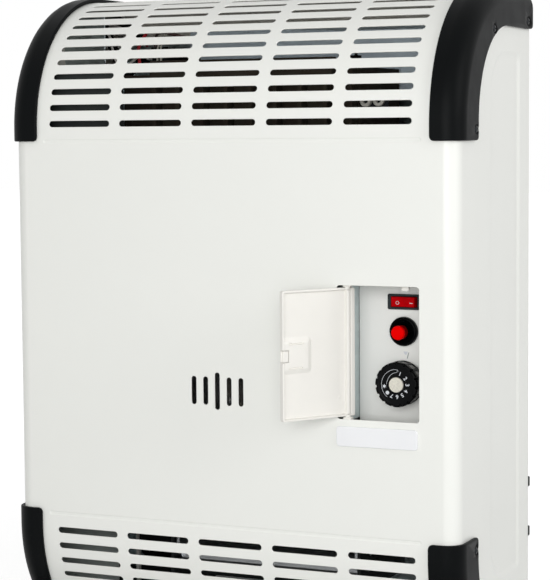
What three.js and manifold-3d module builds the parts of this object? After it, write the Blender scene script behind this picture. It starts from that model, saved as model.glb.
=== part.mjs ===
// Wall mounted gas convector heater, millimetres, +Z up, front towards -Y.
// The origin lies on the wall, behind the middle of the casing's height.
import * as THREE from 'three';
import { mergeVertices } from 'three/addons/utils/BufferGeometryUtils.js';
import Module from 'manifold-3d';

const wasm = await Module();
wasm.setup();

// ---------------------------------------------------------------- driving dimensions
const SEAT = 0.3; // gap left between pieces that rest on each other
const RUN = 0.4; // radial running gap round pieces that turn or slide

const CASING_WIDTH = 460;
const CASING_DEPTH = 215;
const CASING_TOP = 302.5;
const CASING_BOTTOM = -302.5;
const WALL_GAP = 8; // from the casing's rear edge to the wall
const SHEET = 1.2;
const CORNER_RADIUS = 15; // upright bends between front and sides
const ARC_RADIUS = 129; // the louvred bends at top and bottom
const REAR_FLANGE = 12; // inward lip round the casing's rear edge

const BEAD_TO_ARC = 12; // from a pressed line to where its bend begins
const LOWER_BEAD_RISE = 98; // from the casing's bottom edge to the lower pressed line
const BEAD_MARGIN = 34.3; // from the casing's side to a pressed line's end
const BEAD_HEIGHT = 4.5;
const BEAD_DEPTH = 0.5;

const LOUVRE_COLUMNS = 5;
const LOUVRE_MARGIN = 42.4; // from the casing's side to the first column
const LOUVRE_BRIDGE = 10.8; // sheet left between two columns
const LOUVRE_HEIGHT = 6;
const LOUVRE_ROW_PITCH = 15.8;
const LOUVRE_FIRST = 16.8; // from the pressed line to the first row, along the sheet
const LOUVRE_ROWS_TOP = 12;
const LOUVRE_ROWS_BOTTOM = 5;

const RECESS_FROM_FRONT = 85; // side panel recess, from the casing's edges
const RECESS_FROM_REAR = 32.5;
const RECESS_FROM_TOP = 61.1;
const RECESS_FROM_BOTTOM = 40.5;
const RECESS_RADIUS = 64;
const RECESS_REAR_RADIUS = 10;
const RECESS_DEPTH = 2.5;

const TRIM_WALL = 3.9;
const TRIM_FRONT_WIDTH = 27; // on the front, from the casing's side inwards
const TRIM_SIDE_WIDTH = 48; // on the side, from the casing's front backwards
const TRIM_TOP_HEIGHT = 35; // on the side, below the casing's top
const TRIM_INNER_RADIUS = 90;
const TRIM_BOTTOM_OVERRUN = 9; // how far the lower bend's end would lie below the casing

const TRIM_SCREW_HEAD_RADIUS = 3.4;
const TRIM_SCREW_HEAD_HEIGHT = 1.6;
const TRIM_SCREW_RADIUS = 1.7;
const TRIM_SCREW_LENGTH = 9;
const TRIM_SCREW_INSET = 6; // from the trim's inner edge to a screw's middle
const TRIM_SCREW_SLOT = [1, 0.8, 4.8]; // width, depth and length
const TRIM_SCREW_RISE = 9; // lowest screw of the top trim, above the pressed line
const TRIM_SCREW_SLANT = 27; // degrees round the bend, middle screw of the top trim
const TRIM_SCREW_FROM_REAR = 15;
const TRIM_SCREW_TOP_DROP = 28; // rearmost screw of the top trim, below the casing's top
const TRIM_SCREW_FALL = 12; // upper screw of the bottom trim, below the pressed line
const TRIM_SCREW_BOTTOM_RISE = 16; // lower screw of the bottom trim, above the casing's bottom
const TRIM_SCREW_BOTTOM_BACK = 20; // the same, behind the trim's straight rear edge

const VIEW_SLOT_X = -9.5; // viewing slots in front of the flame window
const VIEW_SLOT_Z = -74.9;
const VIEW_SLOT_PITCH = 12.3;
const VIEW_SLOT_COUNT = 5;
const VIEW_SLOT_WIDTH = 5;
const VIEW_SLOT_LENGTH = 27;
const VIEW_SLOT_LENGTH_MIDDLE = 35.5;

const OPENING_FROM_SIDE = 36.7; // opening in front of the controls, from the casing's right side
const OPENING_WIDTH = 80.3;
const OPENING_TOP = 28.9;
const OPENING_HEIGHT = 123.5;
const OPENING_RADIUS = 3;

const DOOR_SIDE_GAP = 1;
const DOOR_END_GAP = 2.3;
const DOOR_PANEL = 2;
const DOOR_RIM = 1.6;
const DOOR_RIM_HEIGHT = 3;
const DOOR_RADIUS = 2;
const DOOR_OPEN_ANGLE = 124; // degrees, as it stands open
const HINGE_INSET = 9; // from the opening's left edge to the hinge axis
const HINGE_DEPTH = 4.5; // from the casing's front to the hinge axis
const HINGE_PIN_RADIUS = 2;
const HINGE_PIN_REACH = 8;
const HINGE_KNUCKLE_RADIUS = 3.6;
const HINGE_KNUCKLE_HEIGHT = 8;
const HINGE_LUG_DROP = 1.6; // how far a hinge lug shows inside the opening
const HINGE_LUG_HEIGHT = 9;
const HINGE_LUG_HALF_WIDTH = 6;
const HINGE_LUG_BACK = 5; // from the hinge axis to the lug's back
const HINGE_PLATE_HALF_WIDTH = 14;
const HINGE_PLATE_THICKNESS = 2;
const HINGE_PLATE_HEIGHT = 20;

const LATCH_HOUSING_WIDTH = 27;
const LATCH_HOUSING_HEIGHT = 31;
const LATCH_WALL = 1.6;
const LATCH_TONGUE_WIDTH = 11;
const LATCH_TONGUE_THICKNESS = 2;
const LATCH_REACH = 1; // tongue behind the casing's sheet when the door is shut
const LATCH_TRAVEL = 3;
const LATCH_WINDOW_INSET = 2; // thumb window in the housing, in from the tongue's channel
const LATCH_WINDOW_FROM_EDGE = 8;
const LATCH_BAR_INSET = 5; // thumb bar, from the tongue's inner end
const LATCH_BAR_WIDTH = 3;
const LATCH_BAR_MARGIN = 3;
const LATCH_BAR_PROUD = 1.4;

const STOP_CLIP_FROM_EDGE = 15.3; // clip on the opening's top edge, from the opening's right
const STOP_CLIP_WIDTH = 7;
const STOP_CLIP_DROP = 3.6;
const STOP_CLIP_HEIGHT = 10;
const STOP_CLIP_THICKNESS = 4;

const BADGE_GAP = 6.4; // blank raised plate, below the opening
const BADGE_HEIGHT = 18.5;
const BADGE_THICKNESS = 2;
const BADGE_RADIUS = 3;

const BUFFER_WIDTH = 7; // rubber buffers between the casing's rear edge and the wall
const BUFFER_HEIGHT = 10;
const BUFFER_RISES = [120.5, 70.5]; // above the casing's bottom edge

const PANEL_DEPTH = 40; // from the casing's front to the control panel
const PANEL_INSET_LEFT = 8; // from the opening's left edge to the panel's
const PANEL_REACH_RIGHT = 12.7; // how far the panel runs on behind the casing's sheet
const PANEL_REACH_UP = 11.1;
const PANEL_REACH_DOWN = 11.4;
const PANEL_LIP = 24;

const CONTROLS_FROM_RIGHT = 28.8; // from the opening's right edge to the controls' axes
const SWITCH_DROP = 17.1; // from the opening's top edge to the switch's middle
const SWITCH_BEZEL_WIDTH = 31.5;
const SWITCH_BEZEL_HEIGHT = 14.4;
const SWITCH_BEZEL_THICKNESS = 2.4;
const SWITCH_BEZEL_RADIUS = 1.2;
const SWITCH_POCKET_ROOM = 4; // behind the rocker
const SWITCH_BODY_WIDTH = 28;
const SWITCH_BODY_HEIGHT = 12;
const SWITCH_BODY_DEPTH = 22;
const ROCKER_WIDTH = 24.4;
const ROCKER_HEIGHT = 9.2;
const ROCKER_DEPTH = 7;
const ROCKER_ANGLE = 6; // degrees to either side of its middle
const ROCKER_PROUD = 0.8;

const PIEZO_DROP = 44.5; // from the opening's top edge to the igniter's axis
const PIEZO_BEZEL_RADIUS = 13.6;
const PIEZO_BEZEL_THICKNESS = 3;
const PIEZO_BODY_RADIUS = 10.6;
const PIEZO_BODY_LENGTH = 42;
const PIEZO_BUTTON_RADIUS = 6.6;
const PIEZO_CHAMFER = 1.3;
const PIEZO_BUTTON_PROUD = 12.6;
const PIEZO_BUTTON_ROOT = 5; // how far the button runs on behind the control panel
const PIEZO_TRAVEL = 8;

const KNOB_DROP = 91.9; // from the opening's top edge to the knob's axis
const KNOB_RADIUS = 20.2;
const KNOB_DEPTH = 18;
const KNOB_GAP = 5; // behind the knob, which is pushed in to light the pilot
const KNOB_WALL = 2.4;
const KNOB_FACE = 3;
const KNOB_HUB_RADIUS = 8;
const KNOB_NOTCHES = 15;
const KNOB_NOTCH = 2.2;
const KNOB_CHAMFER = 1.5;
const KNOB_PANEL = [0.8, 10, 5.6]; // sunk panels round the skirt: depth, length and width
const KNOB_PANEL_MIDDLE = 7; // from the knob's back
const KNOB_CAP_RADIUS = 7;
const KNOB_CAP_THICKNESS = 1.6;
const SPINDLE_RADIUS = 4;
const SPINDLE_ROOM = 3; // round the spindle, in the control panel

const VALVE_WIDTH = 60;
const VALVE_DEPTH = 58;
const VALVE_HEIGHT = 58;
const VALVE_BOSS_RADIUS = 13;
const VALVE_BOSS_LENGTH = 14;
const VALVE_STEP = 8; // stepped back cover, in from the body's sides
const VALVE_STEP_DEPTH = 12;
const VALVE_COLLAR_LENGTH = 10;
const VALVE_COLLAR_WALL = 4;
const SPINDLE_BORE = 30; // how deep the spindle's bore goes into the valve
const GAS_PIPE_RADIUS = 7.5;
const GAS_PIPE_WALL = 1.5;
const GAS_NUT_RADIUS = 14;
const GAS_NUT_HEIGHT = 16;
const GAS_NUT_SHOULDER = 4; // from the nut's face to the pipe's end
const GAS_INLET_ASIDE = 13.5; // from the controls' axis to the inlet pipe's
const GAS_INLET_BACK = 27.8; // from the valve's front to the inlet pipe's axis
const GAS_INLET_RISE = 6.5; // from the casing's bottom edge to the inlet nut's face
const FEED_PIPE_RADIUS = 5;
const SMALL_PIPE_RADIUS = 2;

const EXCHANGER_FROM_SIDE = 122; // from each outer face of the casing to the exchanger
const EXCHANGER_FROM_TOP = 72.5;
const EXCHANGER_FROM_BOTTOM = 112.5;
const EXCHANGER_FROM_FRONT = 73;
const EXCHANGER_FROM_REAR = 38;
const EXCHANGER_WALL = 5;
const EXCHANGER_RIB_PITCH = 26;
const EXCHANGER_RIB_WIDTH = 4;
const EXCHANGER_RIB_DEPTH = 15;
const EXCHANGER_RIB_RISE = 8; // from the firebox's top to the foot of the ribs
const FIREBOX_HEIGHT = 190;
const FIREBOX_MARGIN = 14;
const COVER_THICKNESS = 3;
const WINDOW_RADIUS = 26;
const WINDOW_RING_WIDTH = 7;
const WINDOW_RING_THICKNESS = 4;
const GLASS_THICKNESS = 3;

const BURNER_RADIUS = 14;
const BURNER_FREE_END = 26; // from the firebox's left wall to the burner
const BURNER_RISE = 40; // from the exchanger's bottom to the burner's axis
const BURNER_BACK = 50; // from the exchanger's front to the burner's axis
const BURNER_WALL_GAP = 4; // from the burner's neck to the firebox's right wall
const BURNER_NECK = 6; // how far the neck stands out of the burner
const BURNER_NECK_WALL = 4;
const BURNER_PORTS = 10;
const BURNER_PORT_WIDTH = 2.4;
const BURNER_PORT_LENGTH = 14;
const BURNER_PORT_MARGIN = [12, 18]; // from the burner's left and right ends
const BURNER_FOOT = 10;
const PILOT_PIPE_REACH = 8; // out of the firebox cover
const ELECTRODE_COLLAR = 16; // ceramic, out of the firebox cover
const PILOT_FROM_WALL = 43; // from the firebox's right wall to the pilot pipe
const PILOT_SPACING = 12; // electrode, pilot pipe and thermocouple, side by side
const PILOT_RISE = 10; // above the burner's axis

const FLUE_FROM_TOP = 152.5; // from the casing's top to the ducts' axis
const FLUE_REACH = 35; // how far the two ducts run into the wall
const EXHAUST_RADIUS = 30;
const INTAKE_RADIUS = 50;
const DUCT_WALL = 1.5;
const AIR_DUCT_MARGIN = 12; // air duct's box beyond the intake, at its sides and top
const AIR_PORT_HEIGHT = 24;
const AIR_PORT_WIDTH = 80;
const AIR_PORT_RISE = 22; // from the exchanger's bottom to the port's middle

const REAR_SHEET = 1.5;
const REAR_SIDE_LIP = 22;
const REAR_FOOT_GAP = 2; // from the casing's bottom edge up to the sheet
const REAR_LIP_SHORTFALL = 45; // how much sooner the side lips end than the sheet
const WALL_PLATE_HALF_WIDTH = 120;
const WALL_PLATE_ABOVE = 65; // from the ducts' axis
const WALL_PLATE_BELOW = 220;
const WALL_SCREW_IN = 30; // wall screw holes, from the plate's side
const WALL_SCREW_DOWN = 25; // and from its top and bottom
const WALL_SCREW_RADIUS = 4;
const GLAND_RADIUS = 7; // grommet for the mains lead
const GLAND_WALL = 3;
const GLAND_FLANGE = 3;
const GLAND_FROM_SIDE = 80;
const GLAND_RISE = 32.5; // from the casing's bottom edge

const FAN_FROM_REAR = 97; // from the casing's rear edge to the fan's axis
const FAN_RISE = 57.5; // from the casing's bottom edge to the fan's axis
const FAN_RADIUS = 24;
const FAN_LEFT_ROOM = 126; // from the casing's left side to the fan
const FAN_RIGHT_ROOM = 134;
const FAN_BLADES = 16;
const FAN_BLADE_THICKNESS = 1.2;
const FAN_BLADE_DEPTH = 6;
const FAN_BLADE_PITCH = 34.4; // degrees
const FAN_DISC = 3;
const FAN_SHAFT_RADIUS = 3;
const FAN_HOUSING_GAP = 4;
const FAN_HOUSING_WALL = 1.5;
const FAN_HOUSING_DROP = 8; // how far the scroll's arc lies below the wheel's axis
const FAN_SHAFT_REACH = 6; // into the motor
const FAN_MOTOR_RADIUS = 24;
const FAN_MOTOR_LENGTH = 38;

const THERMOSTAT_RADIUS = 9;
const THERMOSTAT_HEIGHT = 11;
const THERMOSTAT_BRACKET = [13, 8, 1.5]; // half length, half width and thickness
const THERMOSTAT_TAB_X = 4; // contact tabs, from the middle
const THERMOSTAT_TAB = 7; // height of its two contact tabs
const LEAD_RADIUS = 1.6;
const WIRING_FROM_SIDE = 80; // wiring block, from the casing's left side
const WIRING_FROM_TOP = 60.5;
const WIRING_FROM_REAR = 80.5; // its front, from the rear panel
const WIRING_HALF_WIDTH = 14;
const WIRING_DEPTH = 24;
const WIRING_HEIGHT = 15;

// ---------------------------------------------------------------- places that follow
const REAR = -WALL_GAP;
const FRONT = REAR - CASING_DEPTH;
const HALF_WIDTH = CASING_WIDTH / 2;
const LOUVRE_LENGTH = (CASING_WIDTH - 2 * LOUVRE_MARGIN + LOUVRE_BRIDGE) / LOUVRE_COLUMNS - LOUVRE_BRIDGE;
const ARC_Y = FRONT + ARC_RADIUS;
const TOP_ARC_Z = CASING_TOP - ARC_RADIUS;
const TOP_BEAD_Z = TOP_ARC_Z - BEAD_TO_ARC;
const BOTTOM_BEAD_Z = CASING_BOTTOM + LOWER_BEAD_RISE;
const BOTTOM_ARC_Z = BOTTOM_BEAD_Z - BEAD_TO_ARC;
const OPENING_RIGHT = HALF_WIDTH - OPENING_FROM_SIDE;
const OPENING_LEFT = OPENING_RIGHT - OPENING_WIDTH;
const OPENING_BOTTOM = OPENING_TOP - OPENING_HEIGHT;
const PANEL_Y = FRONT + PANEL_DEPTH;
const PANEL_BACK = PANEL_Y + SHEET;
const PANEL_LEFT = OPENING_LEFT + PANEL_INSET_LEFT;
const PANEL_RIGHT = OPENING_RIGHT + PANEL_REACH_RIGHT;
const PANEL_TOP = OPENING_TOP + PANEL_REACH_UP;
const PANEL_BOTTOM = OPENING_BOTTOM - PANEL_REACH_DOWN;
const CONTROLS_X = OPENING_RIGHT - CONTROLS_FROM_RIGHT;
const SWITCH_Z = OPENING_TOP - SWITCH_DROP;
const PIEZO_Z = OPENING_TOP - PIEZO_DROP;
const KNOB_Z = OPENING_TOP - KNOB_DROP;
const FLUE_Z = CASING_TOP - FLUE_FROM_TOP;
const REAR_PANEL_Y = REAR - REAR_SHEET;
const DEGREES = Math.PI / 180;
const SLOT_END_FACETS = 3;
const CUT_REACH = 6; // how far a slot's cutter stands to either side of the sheet

// ---------------------------------------------------------------- materials
const paint = (color, roughness, metalness) => (
  new THREE.MeshStandardMaterial({ color, roughness, metalness }));
const whitePaint = paint('#f0efed', 0.4, 0.1);
const whitePlastic = paint('#ecebe6', 0.45, 0);
const blackPlastic = paint('#141518', 0.4, 0);
const darkScrew = paint('#2a2b2e', 0.35, 0.9);
const greyPaint = paint('#c9ccca', 0.45, 0.1);
const redPlastic = paint('#d8141c', 0.3, 0);
const creamPlastic = paint('#d9d3c7', 0.5, 0);
const galvanised = paint('#a7b1b5', 0.4, 0.9);
const castIron = paint('#3a2c24', 0.85, 0.4);
const dieCast = paint('#9a9c9e', 0.5, 0.8);
const brass = paint('#b08d4a', 0.35, 0.9);
const steel = paint('#8d9093', 0.35, 0.9);
const rubber = paint('#1b1b1c', 0.8, 0);
const windowGlass = paint('#d9e4e2', 0.1, 0);
const ceramic = paint('#e9e6dc', 0.4, 0);
const redLead = paint('#b8242a', 0.5, 0);

// ---------------------------------------------------------------- solids
/** A closed geometry as a solid that can be joined and cut. */
function solid(geometry) {
  const bare = geometry.index ? geometry.toNonIndexed() : geometry.clone();
  bare.deleteAttribute('normal');
  bare.deleteAttribute('uv');
  const merged = mergeVertices(bare, 1e-4);
  const mesh = new wasm.Mesh({
    numProp: 3,
    vertProperties: new Float32Array(merged.attributes.position.array),
    triVerts: new Uint32Array(merged.index.array),
  });
  mesh.merge();
  return new wasm.Manifold(mesh);
}

/** The geometry of a solid. */
function surface(body) {
  const mesh = body.getMesh();
  const geometry = new THREE.BufferGeometry();
  geometry.setAttribute('position', new THREE.BufferAttribute(new Float32Array(mesh.vertProperties), 3));
  geometry.setIndex(new THREE.BufferAttribute(new Uint32Array(mesh.triVerts), 1));
  const flat = geometry.toNonIndexed();
  flat.computeVertexNormals();
  return flat;
}

/** A block between two corners. */
function block([x0, y0, z0], [x1, y1, z1]) {
  const box = new THREE.BoxGeometry(x1 - x0, y1 - y0, z1 - z0);
  return solid(box.translate((x0 + x1) / 2, (y0 + y1) / 2, (z0 + z1) / 2));
}

/** An outline in X and Y, as thick as z0 to z1. */
function prismZ(shape, z0, z1, curveSegments = 3) {
  const options = { depth: z1 - z0, bevelEnabled: false, curveSegments };
  return solid(new THREE.ExtrudeGeometry(shape, options).translate(0, 0, z0));
}

/** An outline in Y and Z, as thick as x0 to x1. */
function prismX(shape, x0, x1, curveSegments = 3) {
  const options = { depth: x1 - x0, bevelEnabled: false, curveSegments };
  const turn = new THREE.Matrix4().makeBasis(
    new THREE.Vector3(0, 1, 0), new THREE.Vector3(0, 0, 1), new THREE.Vector3(1, 0, 0));
  return solid(new THREE.ExtrudeGeometry(shape, options).applyMatrix4(turn).translate(x0, 0, 0));
}

/** An outline in X and Z, as thick as y0 to y1. */
function prismY(shape, y0, y1, curveSegments = 3) {
  const options = { depth: y1 - y0, bevelEnabled: false, curveSegments };
  return solid(new THREE.ExtrudeGeometry(shape, options).rotateX(Math.PI / 2).translate(0, y1, 0));
}

/** A round bar along X, Y or Z from one end to the other, through a point of the other two axes. */
function bar(axis, radius, from, to, [a, b], sides = 24) {
  const rod = new THREE.CylinderGeometry(radius, radius, to - from, sides);
  const middle = (from + to) / 2;
  if (axis === 'x') return solid(rod.rotateZ(-Math.PI / 2).translate(middle, a, b));
  if (axis === 'y') return solid(rod.translate(a, middle, b));
  return solid(rod.rotateX(Math.PI / 2).translate(a, b, middle));
}

/** A round tube along an axis. */
function tube(axis, radius, wall, from, to, place, sides = 24) {
  const outside = bar(axis, radius, from, to, place, sides);
  return outside.subtract(bar(axis, radius - wall, from - 1, to + 1, place, sides));
}

/** A round body turned about Y, from radius and depth pairs on the way forwards, axis to axis. */
function turnedY(profile, sides) {
  const points = profile.map(([radius, y]) => new THREE.Vector2(radius, y)).reverse();
  return solid(new THREE.LatheGeometry(points, sides));
}

/** A bent pipe or lead along a smooth line. */
function bentTube(points, radius, steps, sides) {
  const section = new THREE.Shape();
  section.absarc(0, 0, radius, 0, 2 * Math.PI);
  const route = new THREE.CatmullRomCurve3(points.map((point) => new THREE.Vector3(...point)));
  const options = { steps, extrudePath: route, bevelEnabled: false, curveSegments: sides / 2 };
  return solid(new THREE.ExtrudeGeometry(section, options));
}

/** A rectangle with round corners about a point. */
function roundedRectangle(x0, y0, x1, y1, radius) {
  const shape = new THREE.Shape();
  shape.moveTo(x0 + radius, y0);
  shape.lineTo(x1 - radius, y0);
  shape.absarc(x1 - radius, y0 + radius, radius, -Math.PI / 2, 0);
  shape.lineTo(x1, y1 - radius);
  shape.absarc(x1 - radius, y1 - radius, radius, 0, Math.PI / 2);
  shape.lineTo(x0 + radius, y1);
  shape.absarc(x0 + radius, y1 - radius, radius, Math.PI / 2, Math.PI);
  shape.lineTo(x0, y0 + radius);
  shape.absarc(x0 + radius, y0 + radius, radius, Math.PI, 1.5 * Math.PI);
  return shape;
}

/** A slot with round ends, about the origin, lying along its first direction. */
function slotShape(length, height) {
  const half = (length - height) / 2;
  const points = [];
  for (const side of [1, -1]) {
    for (let i = 0; i <= SLOT_END_FACETS; i++) {
      const angle = side * (i / SLOT_END_FACETS - 0.5) * Math.PI;
      const x = side * (half + (height / 2) * Math.cos(angle));
      points.push(new THREE.Vector2(x, (height / 2) * Math.sin(angle)));
    }
  }
  return new THREE.Shape(points);
}

/** Several solids joined. */
const joined = (bodies) => bodies.reduce((sum, body) => sum.add(body));

// ---------------------------------------------------------------- scene graph
const heater = new THREE.Group();
heater.name = 'wall_gas_heater';

/** Adds a piece to a group under its name. */
function add(parent, name, body, material, position = [0, 0, 0]) {
  const mesh = new THREE.Mesh(surface(body), material);
  mesh.name = name;
  mesh.position.set(...position);
  parent.add(mesh);
  return mesh;
}

// ---------------------------------------------------------------- casing
/** Where a bend changes direction: at its start, and half way between two rows of slots. */
function bendAngles(rows) {
  const angles = [0];
  for (let row = 0; row < rows; row++) {
    const distance = LOUVRE_FIRST + (row + 0.5) * LOUVRE_ROW_PITCH - BEAD_TO_ARC;
    angles.push(Math.min(distance / ARC_RADIUS, Math.PI / 2 - 0.01));
  }
  return angles;
}

/** The casing's side view, grown by an offset: front, both bends, top and rear. */
function sideOutline(offset, rear) {
  const radius = ARC_RADIUS + offset;
  const below = bendAngles(LOUVRE_ROWS_BOTTOM + 2).reverse();
  const shape = new THREE.Shape();
  shape.moveTo(rear, BOTTOM_ARC_Z - radius * Math.sin(below[0]));
  for (const angle of below) {
    shape.lineTo(ARC_Y - radius * Math.cos(angle), BOTTOM_ARC_Z - radius * Math.sin(angle));
  }
  for (const angle of [...bendAngles(LOUVRE_ROWS_TOP - 1), Math.PI / 2]) {
    shape.lineTo(ARC_Y - radius * Math.cos(angle), TOP_ARC_Z + radius * Math.sin(angle));
  }
  shape.lineTo(rear, CASING_TOP + offset);
  return shape;
}

/** The casing's plan, grown by an offset, with its two round front corners. */
function planOutline(offset, rear) {
  const x = HALF_WIDTH + offset;
  const radius = CORNER_RADIUS + offset;
  const shape = new THREE.Shape();
  shape.moveTo(-x, rear);
  shape.lineTo(-x, FRONT - offset + radius);
  shape.absarc(-x + radius, FRONT - offset + radius, radius, Math.PI, 1.5 * Math.PI);
  shape.lineTo(x - radius, FRONT - offset);
  shape.absarc(x - radius, FRONT - offset + radius, radius, -Math.PI / 2, 0);
  shape.lineTo(x, rear);
  return shape;
}

/** The casing's outer form, grown by an offset. */
function casingForm(offset, rear, bottom) {
  const reach = HALF_WIDTH + offset + 1;
  const side = prismX(sideOutline(offset, rear), -reach, reach);
  return side.intersect(prismZ(planOutline(offset, rear), bottom, CASING_TOP + offset + 1));
}

/** The outline of the pressed recess in a side, grown by an offset. */
function recessOutline(offset) {
  const front = FRONT + RECESS_FROM_FRONT - offset;
  const rear = REAR - RECESS_FROM_REAR + offset;
  const top = CASING_TOP - RECESS_FROM_TOP + offset;
  const bottom = CASING_BOTTOM + RECESS_FROM_BOTTOM - offset;
  const radius = RECESS_RADIUS + offset;
  const small = RECESS_REAR_RADIUS + offset;
  const shape = new THREE.Shape();
  shape.moveTo(front, bottom + radius);
  shape.absarc(front + radius, bottom + radius, radius, Math.PI, 1.5 * Math.PI);
  shape.lineTo(rear - small, bottom);
  shape.absarc(rear - small, bottom + small, small, -Math.PI / 2, 0);
  shape.lineTo(rear, top - small);
  shape.absarc(rear - small, top - small, small, 0, Math.PI / 2);
  shape.lineTo(front + radius, top);
  shape.absarc(front + radius, top - radius, radius, Math.PI / 2, Math.PI);
  return shape;
}

/** The two recesses, cut to a depth below a side face that stands at x. */
function recesses(offset, x) {
  const shape = recessOutline(offset);
  const deep = x - RECESS_DEPTH;
  return prismX(shape, deep, x + 1, 4).add(prismX(shape, -x - 1, -deep, 4));
}

/** One row of louvre slots, set square to the bend at an angle above or below the level. */
function louvreRow(distance, arcZ, side) {
  const angle = Math.max(0, distance - BEAD_TO_ARC) / ARC_RADIUS;
  const straight = Math.min(0, distance - BEAD_TO_ARC);
  const past = Math.max(0, angle - Math.PI / 2) * ARC_RADIUS;
  const turn = Math.min(angle, Math.PI / 2);
  const slots = [];
  for (let column = 0; column < LOUVRE_COLUMNS; column++) {
    const x = (column - (LOUVRE_COLUMNS - 1) / 2) * (LOUVRE_LENGTH + LOUVRE_BRIDGE);
    const options = { depth: 2 * CUT_REACH, bevelEnabled: false };
    const slot = new THREE.ExtrudeGeometry(slotShape(LOUVRE_LENGTH, LOUVRE_HEIGHT), options);
    slot.translate(0, 0, -CUT_REACH).rotateX(Math.PI / 2).rotateX(-side * turn);
    const y = ARC_Y - ARC_RADIUS * Math.cos(turn) + past;
    const z = arcZ + side * (ARC_RADIUS * Math.sin(turn) + straight);
    slots.push(solid(slot.translate(x, y, z)));
  }
  return joined(slots);
}

/** Every louvre slot. */
function louvres() {
  const rows = [];
  for (let row = 0; row < LOUVRE_ROWS_TOP; row++) {
    rows.push(louvreRow(LOUVRE_FIRST + row * LOUVRE_ROW_PITCH, TOP_ARC_Z, 1));
  }
  for (let row = 0; row < LOUVRE_ROWS_BOTTOM; row++) {
    rows.push(louvreRow(LOUVRE_FIRST + row * LOUVRE_ROW_PITCH, BOTTOM_ARC_Z, -1));
  }
  return joined(rows);
}

/** The upright slots in front of the flame window. */
function viewSlots() {
  const slots = [];
  for (let i = 0; i < VIEW_SLOT_COUNT; i++) {
    const middle = (VIEW_SLOT_COUNT - 1) / 2;
    const length = i === middle ? VIEW_SLOT_LENGTH_MIDDLE : VIEW_SLOT_LENGTH;
    const options = { depth: 2 * CUT_REACH, bevelEnabled: false };
    const slot = new THREE.ExtrudeGeometry(slotShape(length, VIEW_SLOT_WIDTH), options);
    slot.rotateZ(Math.PI / 2).rotateX(Math.PI / 2);
    const x = VIEW_SLOT_X + (i - middle) * VIEW_SLOT_PITCH;
    slots.push(solid(slot.translate(x, FRONT + CUT_REACH, VIEW_SLOT_Z)));
  }
  return joined(slots);
}

/** A pressed line across the front. */
function bead(z) {
  const options = { depth: 1 + BEAD_DEPTH, bevelEnabled: false };
  const length = CASING_WIDTH - 2 * BEAD_MARGIN;
  const groove = new THREE.ExtrudeGeometry(slotShape(length, BEAD_HEIGHT), options);
  return solid(groove.rotateX(Math.PI / 2).translate(0, FRONT + BEAD_DEPTH, z));
}

/** Where a trim's screws stand on the casing's side, as distances back and heights. */
function trimScrewPlaces(side) {
  const edgeY = FRONT + TRIM_SIDE_WIDTH;
  const screwRadius = TRIM_INNER_RADIUS + TRIM_SCREW_INSET;
  const slant = TRIM_SCREW_SLANT * DEGREES;
  if (side > 0) {
    const arcCentreY = edgeY + TRIM_INNER_RADIUS;
    const arcCentreZ = CASING_TOP - TRIM_TOP_HEIGHT - TRIM_INNER_RADIUS;
    return [
      [edgeY - TRIM_SCREW_INSET, TOP_BEAD_Z + TRIM_SCREW_RISE],
      [arcCentreY - screwRadius * Math.sin(slant), arcCentreZ + screwRadius * Math.cos(slant)],
      [REAR - TRIM_SCREW_FROM_REAR, CASING_TOP - TRIM_SCREW_TOP_DROP],
    ];
  }
  return [
    [edgeY - TRIM_SCREW_INSET, BOTTOM_BEAD_Z - TRIM_SCREW_FALL],
    [edgeY + TRIM_SCREW_BOTTOM_BACK, CASING_BOTTOM + TRIM_SCREW_BOTTOM_RISE],
  ];
}

/** Holes for the trims' screws through both sides. */
function trimScrewHoles() {
  const holes = [];
  const reach = HALF_WIDTH + 10;
  for (const side of [1, -1]) {
    for (const place of trimScrewPlaces(side)) {
      holes.push(bar('x', TRIM_SCREW_RADIUS + SEAT, -reach, reach, place, 8));
    }
  }
  return joined(holes);
}

function casing() {
  const shell = casingForm(0, REAR, CASING_BOTTOM).subtract(recesses(0, HALF_WIDTH));
  const room = casingForm(-SHEET, REAR - SHEET, CASING_BOTTOM - 1)
    .subtract(recesses(SHEET, HALF_WIDTH - SHEET));
  const halfMouth = HALF_WIDTH - REAR_FLANGE;
  const mouth = block([-halfMouth, REAR - SHEET - 1, CASING_BOTTOM - 1],
    [halfMouth, REAR + 1, CASING_TOP - REAR_FLANGE]);
  const controls = roundedRectangle(OPENING_LEFT, OPENING_BOTTOM, OPENING_RIGHT, OPENING_TOP, OPENING_RADIUS);
  return shell.subtract(room).subtract(mouth)
    .subtract(prismY(controls, FRONT - 1, FRONT + SHEET + 1, 3))
    .subtract(viewSlots()).subtract(louvres()).subtract(trimScrewHoles())
    .subtract(bead(TOP_BEAD_Z)).subtract(bead(BOTTOM_BEAD_Z));
}

/** The part of a side that a trim leaves bare: behind its width and inside its bend. */
function bareSide(side) {
  const front = FRONT + TRIM_SIDE_WIDTH;
  const rear = REAR + 5;
  const edge = side > 0 ? CASING_TOP - TRIM_TOP_HEIGHT : CASING_BOTTOM - TRIM_BOTTOM_OVERRUN;
  const arcZ = edge - side * TRIM_INNER_RADIUS;
  const shape = new THREE.Shape();
  const end = side > 0 ? TOP_BEAD_Z - 5 : BOTTOM_BEAD_Z + 5;
  shape.moveTo(rear, end);
  shape.lineTo(front, end);
  shape.absarc(front + TRIM_INNER_RADIUS, arcZ, TRIM_INNER_RADIUS, Math.PI, side * Math.PI / 2, side > 0);
  shape.lineTo(rear, edge);
  return shape;
}

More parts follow.
